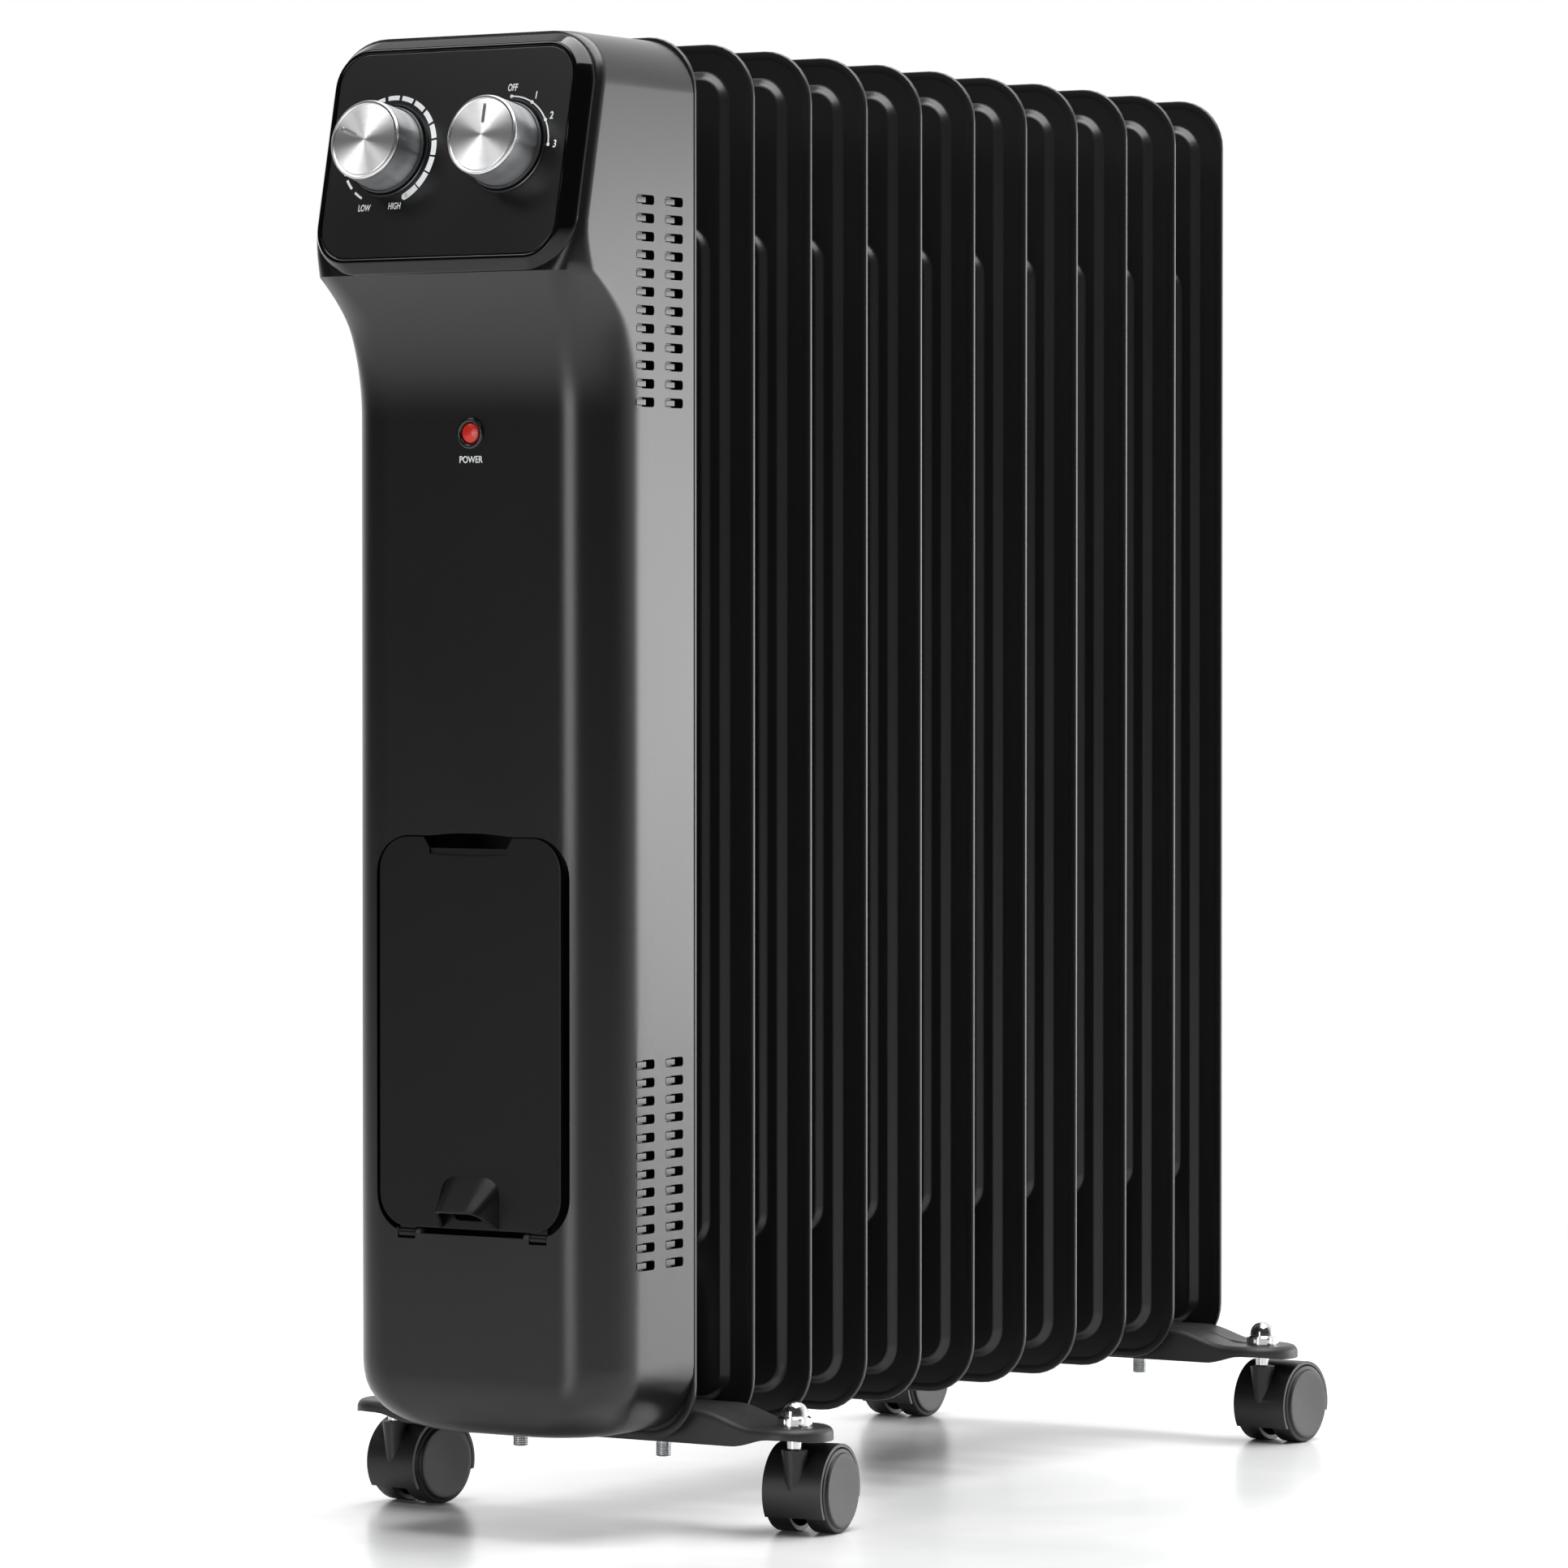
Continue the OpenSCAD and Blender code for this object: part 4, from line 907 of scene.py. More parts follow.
class HEATER_OT_control_face(bpy.types.Operator):
    """The glossy bezel and the panel it frames"""
    bl_idname = "heater.control_face"
    bl_label = "Control face"

    def execute(self, context):
        m = MM
        gloss = finishes("gloss")
        inset = 2.2 * m

        def even(d, y):
            return face_loop(-d, -d, -d, max(FACE_R - d, 2 * m), y)

        def flare(t, y):
            return face_loop(4.3 * m * t, 3.5 * m * t, 4.8 * m * t, FACE_R + 6.5 * m * t, y)

        loops = [even(7 * m, 5 * m), even(7 * m, 2.7 * m), even(inset, 2.7 * m), even(inset, 0.5 * m),
                 even(inset - 0.15 * m, 0.18 * m), even(inset - 0.5 * m, 0.02 * m), even(1.1 * m, 0.0),
                 even(0.55 * m, 0.06 * m),
                 even(0.2 * m, 0.25 * m), flare(0.0, 0.6 * m), flare(0.12, 1.1 * m), flare(0.8, 4.6 * m),
                 flare(0.93, 5.3 * m), flare(1.0, 6.1 * m), flare(1.0, 8.2 * m), flare(0.6, 8.2 * m),
                 face_loop(-9 * m, -9 * m, -9 * m, 7 * m, 8.2 * m),
                 face_loop(-9 * m, -9 * m, -9 * m, 7 * m, 5 * m)]
        bezel = skin("face_bezel_look", loops, cap_first=False, cap_last=False)
        smooth(bezel, 50)
        back = skin("bezel_floor",
                    [face_loop(-7 * m, -7 * m, -7 * m, 9 * m, 2.7 * m),
                     face_loop(-7 * m, -7 * m, -7 * m, 9 * m, 5 * m)])
        for centre in (THERMOSTAT, SELECTOR):
            carve(back, turned("shaft_way", [(5.5 * m, -20 * m), (5.5 * m, 20 * m)], 40, dial(centre)))
        smooth(back)
        for part in (bezel, back):
            part.data.materials.append(finishes("bezel"))
        settle(joined("face_bezel_look", [bezel, back]), "heater", "gloss_black", gloss, "face_bezel")

        d = inset + 0.22 * m
        panel = skin("face_panel_look", [even(d + 0.3 * m, 2.6 * m), even(d, 2.4 * m), even(d, 0.55 * m),
                                         even(d + 0.12 * m, 0.28 * m),
                                         even(d + 0.45 * m, 0.15 * m)])
        for centre in (THERMOSTAT, SELECTOR):
            carve(panel, turned("shaft_way", [(5.5 * m, -20 * m), (5.5 * m, 20 * m)], 48, dial(centre)))
        smooth(panel, 25)
        panel.data.materials.append(gloss)
        collars = []
        for centre in (THERMOSTAT, SELECTOR):
            collar = turned("collar", [(18.9 * m, -0.6 * m), (18.9 * m, 0.55 * m), (19.2 * m, 0.75 * m),
                                       (19.7 * m, 0.55 * m),
                                       (19.95 * m, -0.1 * m), (19.95 * m, -0.6 * m)], 96, dial(centre))
            collar.data.materials.append(gloss)
            smooth(collar, 40)
            collars.append(collar)
        settle(joined("face_panel_look", [panel] + collars), "heater", "gloss_black", gloss, "face_panel")
        return {"FINISHED"}


def lettering(text, size, x, z, width=0.82, shear=0.0):
    """A line of raised letters on the face, centred on (x, z)."""
    curve = bpy.data.curves.new("letters", "FONT")
    curve.body = text
    curve.size = size
    curve.align_x = "CENTER"
    curve.align_y = "CENTER"
    curve.extrude = 0.00003
    curve.offset = 0.00006
    curve.shear = shear
    obj = bpy.data.objects.new("letters", curve)
    bpy.context.scene.collection.objects.link(obj)
    bpy.context.view_layer.update()
    mesh = bpy.data.meshes.new_from_object(obj.evaluated_get(bpy.context.evaluated_depsgraph_get()))
    bpy.data.objects.remove(obj)
    out = bpy.data.objects.new("letters", mesh)
    bpy.context.scene.collection.objects.link(out)
    upright = Matrix.Translation((x, 0, z)) @ Matrix.Rotation(math.pi / 2, 4, "X")
    mesh.transform(upright @ Matrix.Diagonal((width, 1, 1, 1)))
    return out


def arc_band(inner, outer, start, end, steps, y, thick=0.06 * MM, matrix=Matrix.Identity(4)):
    """A flat band round a dial; angles run clockwise from the top."""
    points, faces = [], []
    for i in range(steps + 1):
        t = i / steps
        a = math.radians(start + (end - start) * t)
        ri = inner[0] + (inner[1] - inner[0]) * t
        ro = outer[0] + (outer[1] - outer[0]) * t
        for r in (ri, ro):
            for d in (y, y - thick):
                points.append(matrix @ Vector((r * math.sin(a), d, r * math.cos(a))))
    for i in range(steps):
        a, b = 4 * i, 4 * i + 4
        faces += [(a, b, b + 1, a + 1), (a + 1, b + 1, b + 3, a + 3), (a + 3, b + 3, b + 2, a + 2),
                  (a + 2, b + 2, b, a)]
    faces += [(0, 1, 3, 2), (4 * steps, 4 * steps + 2, 4 * steps + 3, 4 * steps + 1)]
    return tidy(piece("band", points, faces))


class HEATER_OT_dial_marks(bpy.types.Operator):
    """The printed scales and words on the face and beside the lamp"""
    bl_idname = "heater.dial_marks"
    bl_label = "Dial marks"

    def execute(self, context):
        m = MM
        parts = []
        on = 0.12 * m
        left, right = dial(THERMOSTAT), dial(SELECTOR)
        count = shape_settings().dial_segments
        middle_r = 22.6 * m
        for i in range(count):
            t0, t1 = i / count, (i + 1) / count
            gap = 0.3 * (1 - t0) + 0.05
            a0 = -152 + 304 * t0
            a1 = a0 + 304 / count * (1 - gap)
            w0 = (0.9 + 2.0 * t0) * m
            w1 = (0.9 + 2.0 * t1) * m
            parts.append(arc_band((middle_r - w0 / 2, middle_r - w1 / 2),
                                  (middle_r + w0 / 2, middle_r + w1 / 2), a0, a1, 5, on, 0.06 * m, left))
        # rounded end at the high side
        end = math.radians(-152 + 304 * (1 - 0.05 / count))
        tip = Matrix.Translation((middle_r * math.sin(end), 0, middle_r * math.cos(end)))
        parts.append(turned("end",
                            [(0, -on), (1.42 * m, -on), (1.42 * m, -on + 0.06 * m), (0, -on + 0.06 * m)],
                            24, left @ tip))
        parts.append(arc_band((20.7 * m, 20.7 * m), (21.3 * m, 21.3 * m), 0, 90, 24, on, 0.06 * m, right))
        for a in (0, 30, 60, 90):
            spot = Matrix.Translation((21 * m * math.sin(math.radians(a)), 0,
                                       21 * m * math.cos(math.radians(a))))
            parts.append(turned("dot",
                                [(0, -on), (0.75 * m, -on), (0.75 * m, -on + 0.07 * m),
                                 (0, -on + 0.07 * m)], 20, right @ spot))
        words = [("LOW", 3.9, -38.0, 23.5), ("HIGH", 3.9, -22.8, 24.0)]
        gap = (SELECTOR - THERMOSTAT).length / 2
        for text, a in (("OFF", 0), ("1", 30), ("2", 60), ("3", 90)):
            reach = 24.6 * m if text == "OFF" else 24.2 * m
            words.append((text, 4.4 if text != "OFF" else 4.2,
                          (gap + reach * math.sin(math.radians(a))) / m,
                          (DIAL_Z + reach * math.cos(math.radians(a))) / m))
        for text, size, x, z in words:
            word = lettering(text, size * m, x * m, z * m, 0.66 if len(text) > 1 else 0.8, 0.1)
            word.data.transform(FACE @ Matrix.Translation((0, on - 0.05 * m, 0)))
            parts.append(word)
        power = lettering("POWER", 3.9 * m, 0, middle("lamp_lens").z - 11 * m, 0.86)
        power.data.transform(Matrix.Translation((0, FRONT - 0.02 * m, 0)))
        parts.append(power)
        ink = finishes("print")
        for part in parts:
            part.data.materials.clear()
            part.data.materials.append(ink)
        settle(joined("dial_marks", parts), "heater", "print_white", ink)
        return {"FINISHED"}


# ---------- knobs and lamp ----------

class HEATER_OT_knobs(bpy.types.Operator):
    """The two knobs: a turned metal cap over a dark core"""
    bl_idname = "heater.knobs"
    bl_label = "Knobs"

    def execute(self, context):
        m = MM
        for name, centre, rest in (("thermostat", THERMOSTAT, -67), ("selector", SELECTOR, 0)):
            body = name + "_dial"
            at = dial(centre)
            # The cap is one aluminium piece: its side and rim get darker copies of the face's metal colour,
            # painted shade.
            side = spun_metal(name + "_painted_shade_side_metal", centre, 0.03, 0.34, (0.4, 0.41, 0.42))
            face = spun_metal(name + "_face_metal", centre, 0.14, 0.36, (0.93, 0.93, 0.94))
            rim = surface("painted_shade_rim_metal", (0.6, 0.6, 0.61), 0.3, metallic=1.0, grain=900, bump=0.000003,
                          colour_swing=0.04)
            profile = [(15.6 * m, 2.0 * m), (17.3 * m, 2.0 * m), (17.4 * m, 2.3 * m),
                       (17.35 * m, 2.9 * m), (16.85 * m, 16.6 * m),
                       (16.8 * m, 17.0 * m), (16.72 * m, 17.35 * m), (16.5 * m, 17.75 * m),
                       (16.15 * m, 17.98 * m), (15.75 * m, 17.98 * m),
                       (15.45 * m, 17.85 * m), (15.3 * m, 17.6 * m), (15.15 * m, 17.5 * m),
                       (15.0 * m, 17.6 * m), (14.8 * m, 17.68 * m),
                       (0.0, 17.68 * m), (0.0, 16.1 * m), (15.6 * m, 16.1 * m), (15.6 * m, 2.0 * m)]
            cap = turned(name + "_cap_look", profile, 128, at)
            groove = prism("groove", slot_outline(4.7 * m, 13.3 * m, 0.8 * m), -18.6 * m, -16.75 * m,
                           at @ Matrix.Rotation(math.radians(rest), 4, "Y"))
            carve(cap, groove)
            cap.data.materials.clear()
            for mat in (side, rim, face):
                cap.data.materials.append(mat)
            inverse = at.inverted()
            for poly in cap.data.polygons:
                spot = inverse @ poly.center
                radius, out = math.hypot(spot.x, spot.z), -spot.y
                # Painted shade: the pointer groove's floor takes the rim's darker metal.
                if abs(out - 16.75 * m) < 0.05 * m and radius < 14 * m:
                    poly.material_index = 1
                elif out < 16.7 * m or radius > 16.9 * m:
                    poly.material_index = 0
                elif radius > 14.9 * m:
                    poly.material_index = 1
                else:
                    poly.material_index = 2
            smooth(cap, 30)
            settle(cap, body, "spun_aluminium", None, name + "_cap")
            core = turned(name + "_knob_look",
                          [(3.1 * m, 0.8 * m), (18.1 * m, 0.8 * m), (18.4 * m, 1.1 * m),
                           (18.35 * m, 1.9 * m),
                                                (18.0 * m, 2.2 * m), (15.5 * m, 2.2 * m),
                                                (15.5 * m, 16.0 * m), (3.1 * m, 16.0 * m)], 96, at)
            smooth(core)
            settle(core, body, "knob_core", finishes("core"), name + "_knob")
            steel = finishes("steel")
            shaft = turned(name + "_shaft_look",
                           [(0, -16.9 * m), (2.4 * m, -16.9 * m), (3.0 * m, -16.3 * m),
                            (3.0 * m, 11.0 * m), (2.6 * m, 11.9 * m), (0, 11.9 * m)], 40, at)
            smooth(shaft)
            settle(shaft, body, "plated_steel", steel, name + "_shaft")
        return {"FINISHED"}


def slot_outline(low, high, r, steps=8):
    out = []
    for i in range(steps + 1):
        a = math.radians(180 * i / steps)
        out.append((r * math.cos(a), high - r + r * math.sin(a)))
    for i in range(steps + 1):
        a = math.radians(180 + 180 * i / steps)
        out.append((r * math.cos(a), low + r + r * math.sin(a)))
    return out


class HEATER_OT_lamp(bpy.types.Operator):
    """The power lamp: a black ring and a faceted red lens"""
    bl_idname = "heater.lamp"
    bl_label = "Power lamp"

    def execute(self, context):
        m = MM
        at = Matrix.Translation((0, FRONT, middle("lamp_lens").z))
        ring = turned("lamp_ring_look", [(4.35 * m, -14 * m), (5.0 * m, -14 * m), (5.0 * m, -0.2 * m),
                                         (6.6 * m, -0.1 * m), (6.6 * m, 0.6 * m),
                                         (6.3 * m, 1.15 * m), (5.7 * m, 1.4 * m), (5.0 * m, 1.3 * m),
                                         (4.5 * m, 0.8 * m), (4.35 * m, 0.2 * m),
                                         (4.35 * m, -14 * m)], 64, at)
        smooth(ring, 40)
        settle(ring, "heater", "gloss_black", finishes("ring"), "lamp_bezel")
        points, faces = [], []
        steps = 14
        rings = [(4.3, 0.1), (3.9, 0.6), (2.7, 1.0), (1.3, 1.35)]
        for j, (r, h) in enumerate(rings):
            for i in range(steps):
                a = 2 * math.pi * (i + 0.5 * (j % 2)) / steps
                points.append(at @ Vector((r * m * math.sin(a), -h * m, r * m * math.cos(a))))
        for j in range(len(rings) - 1):
            for i in range(steps):
                a, b = j * steps + i, j * steps + (i + 1) % steps
                c, d = a + steps, b + steps
                faces += [(a, b, c), (b, d, c)] if j % 2 == 0 else [(a, b, d), (a, d, c)]
        top = len(points)
        points.append(at @ Vector((0, -1.5 * m, 0)))
        for i in range(steps):
            faces.append(((len(rings) - 1) * steps + i, (len(rings) - 1) * steps + (i + 1) % steps, top))
        base = len(points)
        for i in range(steps):
            a = 2 * math.pi * i / steps
            points.append(at @ Vector((4.3 * m * math.sin(a), 12 * m, 4.3 * m * math.cos(a))))
        for i in range(steps):
            faces.append((i, base + i, base + (i + 1) % steps, (i + 1) % steps))
        faces.append(tuple(base + i for i in range(steps)))
        lens = tidy(piece("lamp_lens_look", points, faces))
        settle(lens, "heater", "lamp_red", finishes("lamp"), "lamp_lens")
        return {"FINISHED"}


# ---------- the door ----------

def rounded_path(corners, radii, steps=6):
    """Polyline with its inner corners rounded; every path made this way has the same number of points."""
    out = [Vector(corners[0])]
    for i in range(1, len(corners) - 1):
        a, b, c = (Vector(corners[j]) for j in (i - 1, i, i + 1))
        u, v = (a - b).normalized(), (c - b).normalized()
        r = radii[i - 1]
        for k in range(steps + 1):
            t = k / steps
            p = b + u * r
            q = b + v * r
            out.append((1 - t) ** 2 * p + 2 * t * (1 - t) * b + t * t * q)
    out.append(Vector(corners[-1]))
    return out


class HEATER_OT_door(bpy.types.Operator):
    """The cord compartment's door with its finger notch and cord hood"""
    bl_idname = "heater.door"
    bl_label = "Compartment door"

    def execute(self, context):
        m = MM
        pin = Vector(JOINTS["door_swing"]["pos_m"])
        w, h, x = 91 * m, 162.4 * m, -1 * m
        foot = pin.z + 2.5 * m

        def loop(d, y):
            outline = rect_loop(w - 2 * d, h - 2 * d, 14 * m - d, 10, x, foot + h / 2)
            return [Vector((px, FRONT + y, pz)) for px, pz in outline]

        plate = skin("door_plate", [loop(0.2 * m, 2.4 * m), loop(0, 2.2 * m), loop(0, 0.45 * m),
                                    loop(0.13 * m, 0.14 * m), loop(0.45 * m, 0)])
        top = foot + h
        notch = prism("notch", [(x - 24.2 * m, top + 1.5 * m), (x - 20.2 * m, top - 4.7 * m),
                                (x + 18.7 * m, top - 4.7 * m), (x + 22.7 * m, top + 1.5 * m)],
                      FRONT - 3 * m, FRONT + 6 * m)
        carve(plate, notch)
        # scooped ledge under the notch
        sag = [(x - 20.2 * m + 38.9 * m * i / 14,
                top - 7.0 * m - 0.9 * m * math.sin(math.pi * i / 14)) for i in range(15)]
        ledge = prism("ledge", sag + [(x + 18.7 * m, top - 4 * m), (x - 20.2 * m, top - 4 * m)], -2 * m,
                      1.0 * m,
                      Matrix.Translation((0, FRONT, 0)))
        carve(plate, ledge)
        way = prism("cord_way", rect_loop(16 * m, 10 * m, 3 * m, 5, x, foot + 8.6 * m), FRONT - 3 * m,
                    FRONT + 6 * m)
        carve(plate, way)
        smooth(plate, 30)
        # the hood: ruled between an arch on the door and the lip's arch
        out = shape_settings().cord_hood
        base, height = 15 * m, 22.3 * m
        arch = rounded_path([(-base, 0.3 * m, 0), (-base, 0.3 * m, height), (base, 0.3 * m, height),
                             (base, 0.3 * m, 0)], [9.5 * m, 9.5 * m], 12)
        lip = rounded_path([(-base, 0.3 * m, 0), (-9.6 * m, -out, 8.2 * m), (9.6 * m, -out, 8.2 * m),
                            (base, 0.3 * m, 0)], [4.2 * m, 4.2 * m], 12)
        rows = []
        for k in range(7):
            t = k / 6
            rows.append([Matrix.Translation((x, FRONT, foot)) @ (a * (1 - t) + b * t)
                         for a, b in zip(arch, lip)])
        hood = skin("door_hood", rows, cap_first=False, cap_last=False, closed=False)
        up = sum((p.normal for p in hood.data.polygons), Vector())
        if up.y > 0:
            hood.data.flip_normals()
        mod = hood.modifiers.new("Sheet", "SOLIDIFY")
        mod.thickness = 1.6 * m
        mod.offset = -1
        baked(hood)
        rounded(hood, 0.4 * m, 2, 50)
        smooth(hood, 45)
        lugs = []
        for side in (-1, 1):
            quarter_turn = Matrix.Rotation(math.pi / 2, 4, "Z")
            along_pin = Matrix.Translation((side * 33 * m, pin.y, pin.z)) @ quarter_turn
            lug = turned("lug",
                         [(1.25 * m, -4 * m), (1.95 * m, -4 * m), (1.95 * m, 4 * m), (1.25 * m, 4 * m),
                          (1.25 * m, -4 * m)], 32, along_pin)
            web = block("web", (side * 33 * m - 4 * m, pin.y - 0.6 * m, pin.z + 1.3 * m),
                        (side * 33 * m + 4 * m, pin.y + 1.95 * m, pin.z + 5 * m))
            for part in (lug, web):
                smooth(part)
            lugs += [lug, web]
        housing = finishes("door")
        for part in [plate, hood] + lugs:
            part.data.materials.clear()
            part.data.materials.append(housing)
        settle(joined("compartment_door_look", [plate, hood] + lugs), "door", "housing_plastic", housing,
               "compartment_door")
        return {"FINISHED"}


# ---------- feet and fasteners ----------

def softened(name, node, width, segments=3, angle=35, shade=35):
    obj = cad_copy(name, node)
    rounded(obj, width, segments, angle)
    smooth(obj, shade)
    return obj


def foot_bracket(node):
    """A pressed bracket: flat pads, a raised middle and a turned-down rim with a soft shoulder."""
    m = MM
    low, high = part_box(node)
    half, wide, mid = high.x, (high.y - low.y) / 2, (high.y + low.y) / 2
    pad, crown = 46 * m, high.z

    def blend(x, a, b):
        t = min(1, max(0, (abs(x) - a) / (b - a)))
        return t * t * (3 - 2 * t)

    def top(x):
        return crown + (pad - crown) * blend(x, 64 * m, 92 * m)

    def rim(x):
        return 37.8 * m + 3.6 * m * blend(x, 82 * m, 100 * m) - 1.2 * m * blend(x, 108 * m, 118 * m)

    def loop(inset, drop):
        r = wide - inset
        straight = half - wide
        out = []
        for side in (1, -1):
            out += [(side * straight + side * r * math.sin(math.pi * i / 14),
                     -side * r * math.cos(math.pi * i / 14)) for i in range(15)]
            out += [(side * straight * (1 - 2 * i / 60), side * r) for i in range(1, 60)]
        return [Vector((x, mid + y, rim(x) if drop is None else top(x) - drop)) for x, y in out]

    shoulder = 3.2 * m
    steps = [(wide - 0.6 * m, 0), (wide * 0.6, 0), (shoulder + 1.5 * m, 0)]
    steps += [(shoulder * (1 - math.sin(math.radians(a))),
               shoulder * (1 - math.cos(math.radians(a)))) for a in range(0, 91, 15)]
    steps += [(0, None)]
    sheet = skin("foot_sheet", [loop(*step) for step in steps], cap_first=True, cap_last=False)
    if sum(p.normal.z for p in sheet.data.polygons) < 0:
        sheet.data.flip_normals()
    mod = sheet.modifiers.new("Sheet", "SOLIDIFY")
    mod.thickness = 1.8 * m
    mod.offset = -1
    mod.use_even_offset = True
    baked(sheet)
    tidy(sheet)
    for side in (-1, 1):
        for way, reach, r, bottom in (("stem_way", 102 * m, 4.1 * m, -60 * m),
                                      ("bolt_way", middle_leg(), 3.15 * m, -70 * m)):
            upright = Matrix.Translation((side * reach, mid, 0)) @ Matrix.Rotation(math.pi / 2, 4, "X")
            carve(sheet, turned(way, [(r, bottom), (r, -30 * m)], 40, upright))
    sheet.name = node + "_look"
    rounded(sheet, 0.4 * m, 2, 60)
    return smooth(sheet, 50)


def middle_leg():
    """Distance of a U-bolt's legs from the middle plane."""
    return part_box("u_bolts")[1].x - 3 * MM


class HEATER_OT_feet(bpy.types.Operator):
    """The two foot brackets with their U-bolts, stems and domed nuts"""
    bl_idname = "heater.feet"
    bl_label = "Feet and fasteners"

    def execute(self, context):
        m = MM
        for node in ("front_foot", "rear_foot"):
            settle(foot_bracket(node), "heater", "foot_enamel", finishes("foot"), node)
        low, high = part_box("acorn_nuts")
        hexagon = [(7.5 * m * math.cos(math.radians(60 * i + 24)),
                    7.5 * m * math.sin(math.radians(60 * i + 24))) for i in range(6)]
        prism_points = [[Vector((px, py, z)) for px, py in hexagon] for z in (0, 3.5 * m)]
        nut = skin("nut_hex", prism_points)
        cone = turned("nut_dome",
                      [(0, -0.2 * m), (7.0 * m, -0.2 * m), (6.9 * m, 3.3 * m), (6.2 * m, 3.9 * m),
                       (5.75 * m, 4.2 * m)]
                      + [(5.7 * m * math.cos(math.radians(a)),
                          (5.0 + 5.7 * math.sin(math.radians(a))) * m) for a in range(0, 91, 9)], 48,
                      Matrix.Rotation(-math.pi / 2, 4, "X"))
        rounded(nut, 0.5 * m, 2, 30)
        zinc = finishes("zinc")
        for part in (nut, cone):
            smooth(part, 32)
            part.data.materials.append(zinc)
        nut = joined("nut_form", [nut, cone])
        step_x = high.x + low.x * -1 - 15 * m
        step_y = high.y - low.y - 2 * 6.495 * m
        centre = middle("acorn_nuts")
        nuts = grid("domed_nuts", nut, 2, (0, step_y, 0), 2, (step_x, 0, 0),
                    (centre.x - step_x / 2, centre.y - step_y / 2, low.z), zinc)
        scrap(nut)
        settle(nuts, "heater", "bright_zinc", zinc, "acorn_nuts")
        settle(softened("caster_stems_look", "caster_stems", 0.25 * m, 2, 40), "heater", "bright_zinc",
               zinc, "caster_stems")
        steel = finishes("steel")
        # threads show on the bolts' ends
        low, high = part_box("u_bolts")
        ridges = [(2.2 * m, 0)] + [((3.22 if i % 2 else 2.85) * m,
                                    (0.25 + 0.42 * i) * m) for i in range(14)] + [(2.2 * m, 6 * m)]
        thread = turned("thread_form", ridges, 32, Matrix.Rotation(-math.pi / 2, 4, "X"))
        smooth(thread, 60)
        mids = [middle(node).y for node in ("front_foot", "rear_foot")]
        threads = grid("threads", thread, 2, (0, mids[1] - mids[0], 0), 2, (2 * middle_leg(), 0, 0),
                       (-middle_leg(), mids[0], low.z - 0.15 * m), steel)
        scrap(thread)
        bolts = softened("u_bolts_look", "u_bolts", 0.3 * m, 2, 50)
        bolts.data.materials.append(steel)
        settle(joined("u_bolts_look", [bolts, threads]), "heater", "plated_steel", steel, "u_bolts")
        settle(softened("u_bolt_nuts_look", "u_bolt_nuts", 0.35 * m, 2, 30), "heater", "plated_steel",
               steel, "u_bolt_nuts")
        return {"FINISHED"}


# ---------- casters ----------

CASTERS = ("fr", "fl", "rr", "rl")


class HEATER_OT_casters(bpy.types.Operator):
    """The four twin-wheel casters: hoods and wheels"""
    bl_idname = "heater.casters"
    bl_label = "Casters"

    def execute(self, context):
        m = MM
        for corner in CASTERS:
            settle(softened("caster_hood_look_" + corner, "caster_hood_" + corner, 0.8 * m, 3, 40, 45),
                   "caster_" + corner,
                   "caster_plastic", finishes("caster"), "caster_hood_" + corner)
            for side in ("outer", "inner"):
                name = f"wheel_{corner}_{side}"
                joint = JOINTS[f"roll_{corner}_{side}"]
                hub = Vector(joint["pos_m"])
                across = Vector(joint["axis"])
                if (middle(name) - hub).dot(across) < 0:
                    across = -across
                spin = math.atan2(across.y, across.x) + math.pi / 2
                at = Matrix.Translation(hub) @ Matrix.Rotation(spin, 4, "Z")
                profile = [(2.05 * m, 3.8 * m), (4.4 * m, 3.8 * m), (4.5 * m, 4.1 * m),
                           (4.5 * m, 12.8 * m), (15.5 * m, 12.8 * m),
                           (15.6 * m, 4.0 * m), (17.4 * m, 3.8 * m), (17.8 * m, 4.3 * m),
                           (17.8 * m, 13.1 * m), (17.5 * m, 13.7 * m),
                           (17.0 * m, 13.95 * m), (16.2 * m, 14.0 * m), (16.0 * m, 14.15 * m),
                           (15.95 * m, 14.6 * m), (15.6 * m, 15.0 * m),
                           (15.0 * m, 15.2 * m), (13.6 * m, 15.15 * m), (6.0 * m, 14.95 * m),
                           (0, 14.92 * m), (0, 13.0 * m), (2.05 * m, 13.0 * m),
                           (2.05 * m, 3.8 * m)]
                wheel = turned(name + "_look", profile, 96, at)
                smooth(wheel, 35)
                settle(wheel, name, "wheel_plastic", finishes("wheel"), name)
        return {"FINISHED"}


# ---------- what the housing hides ----------

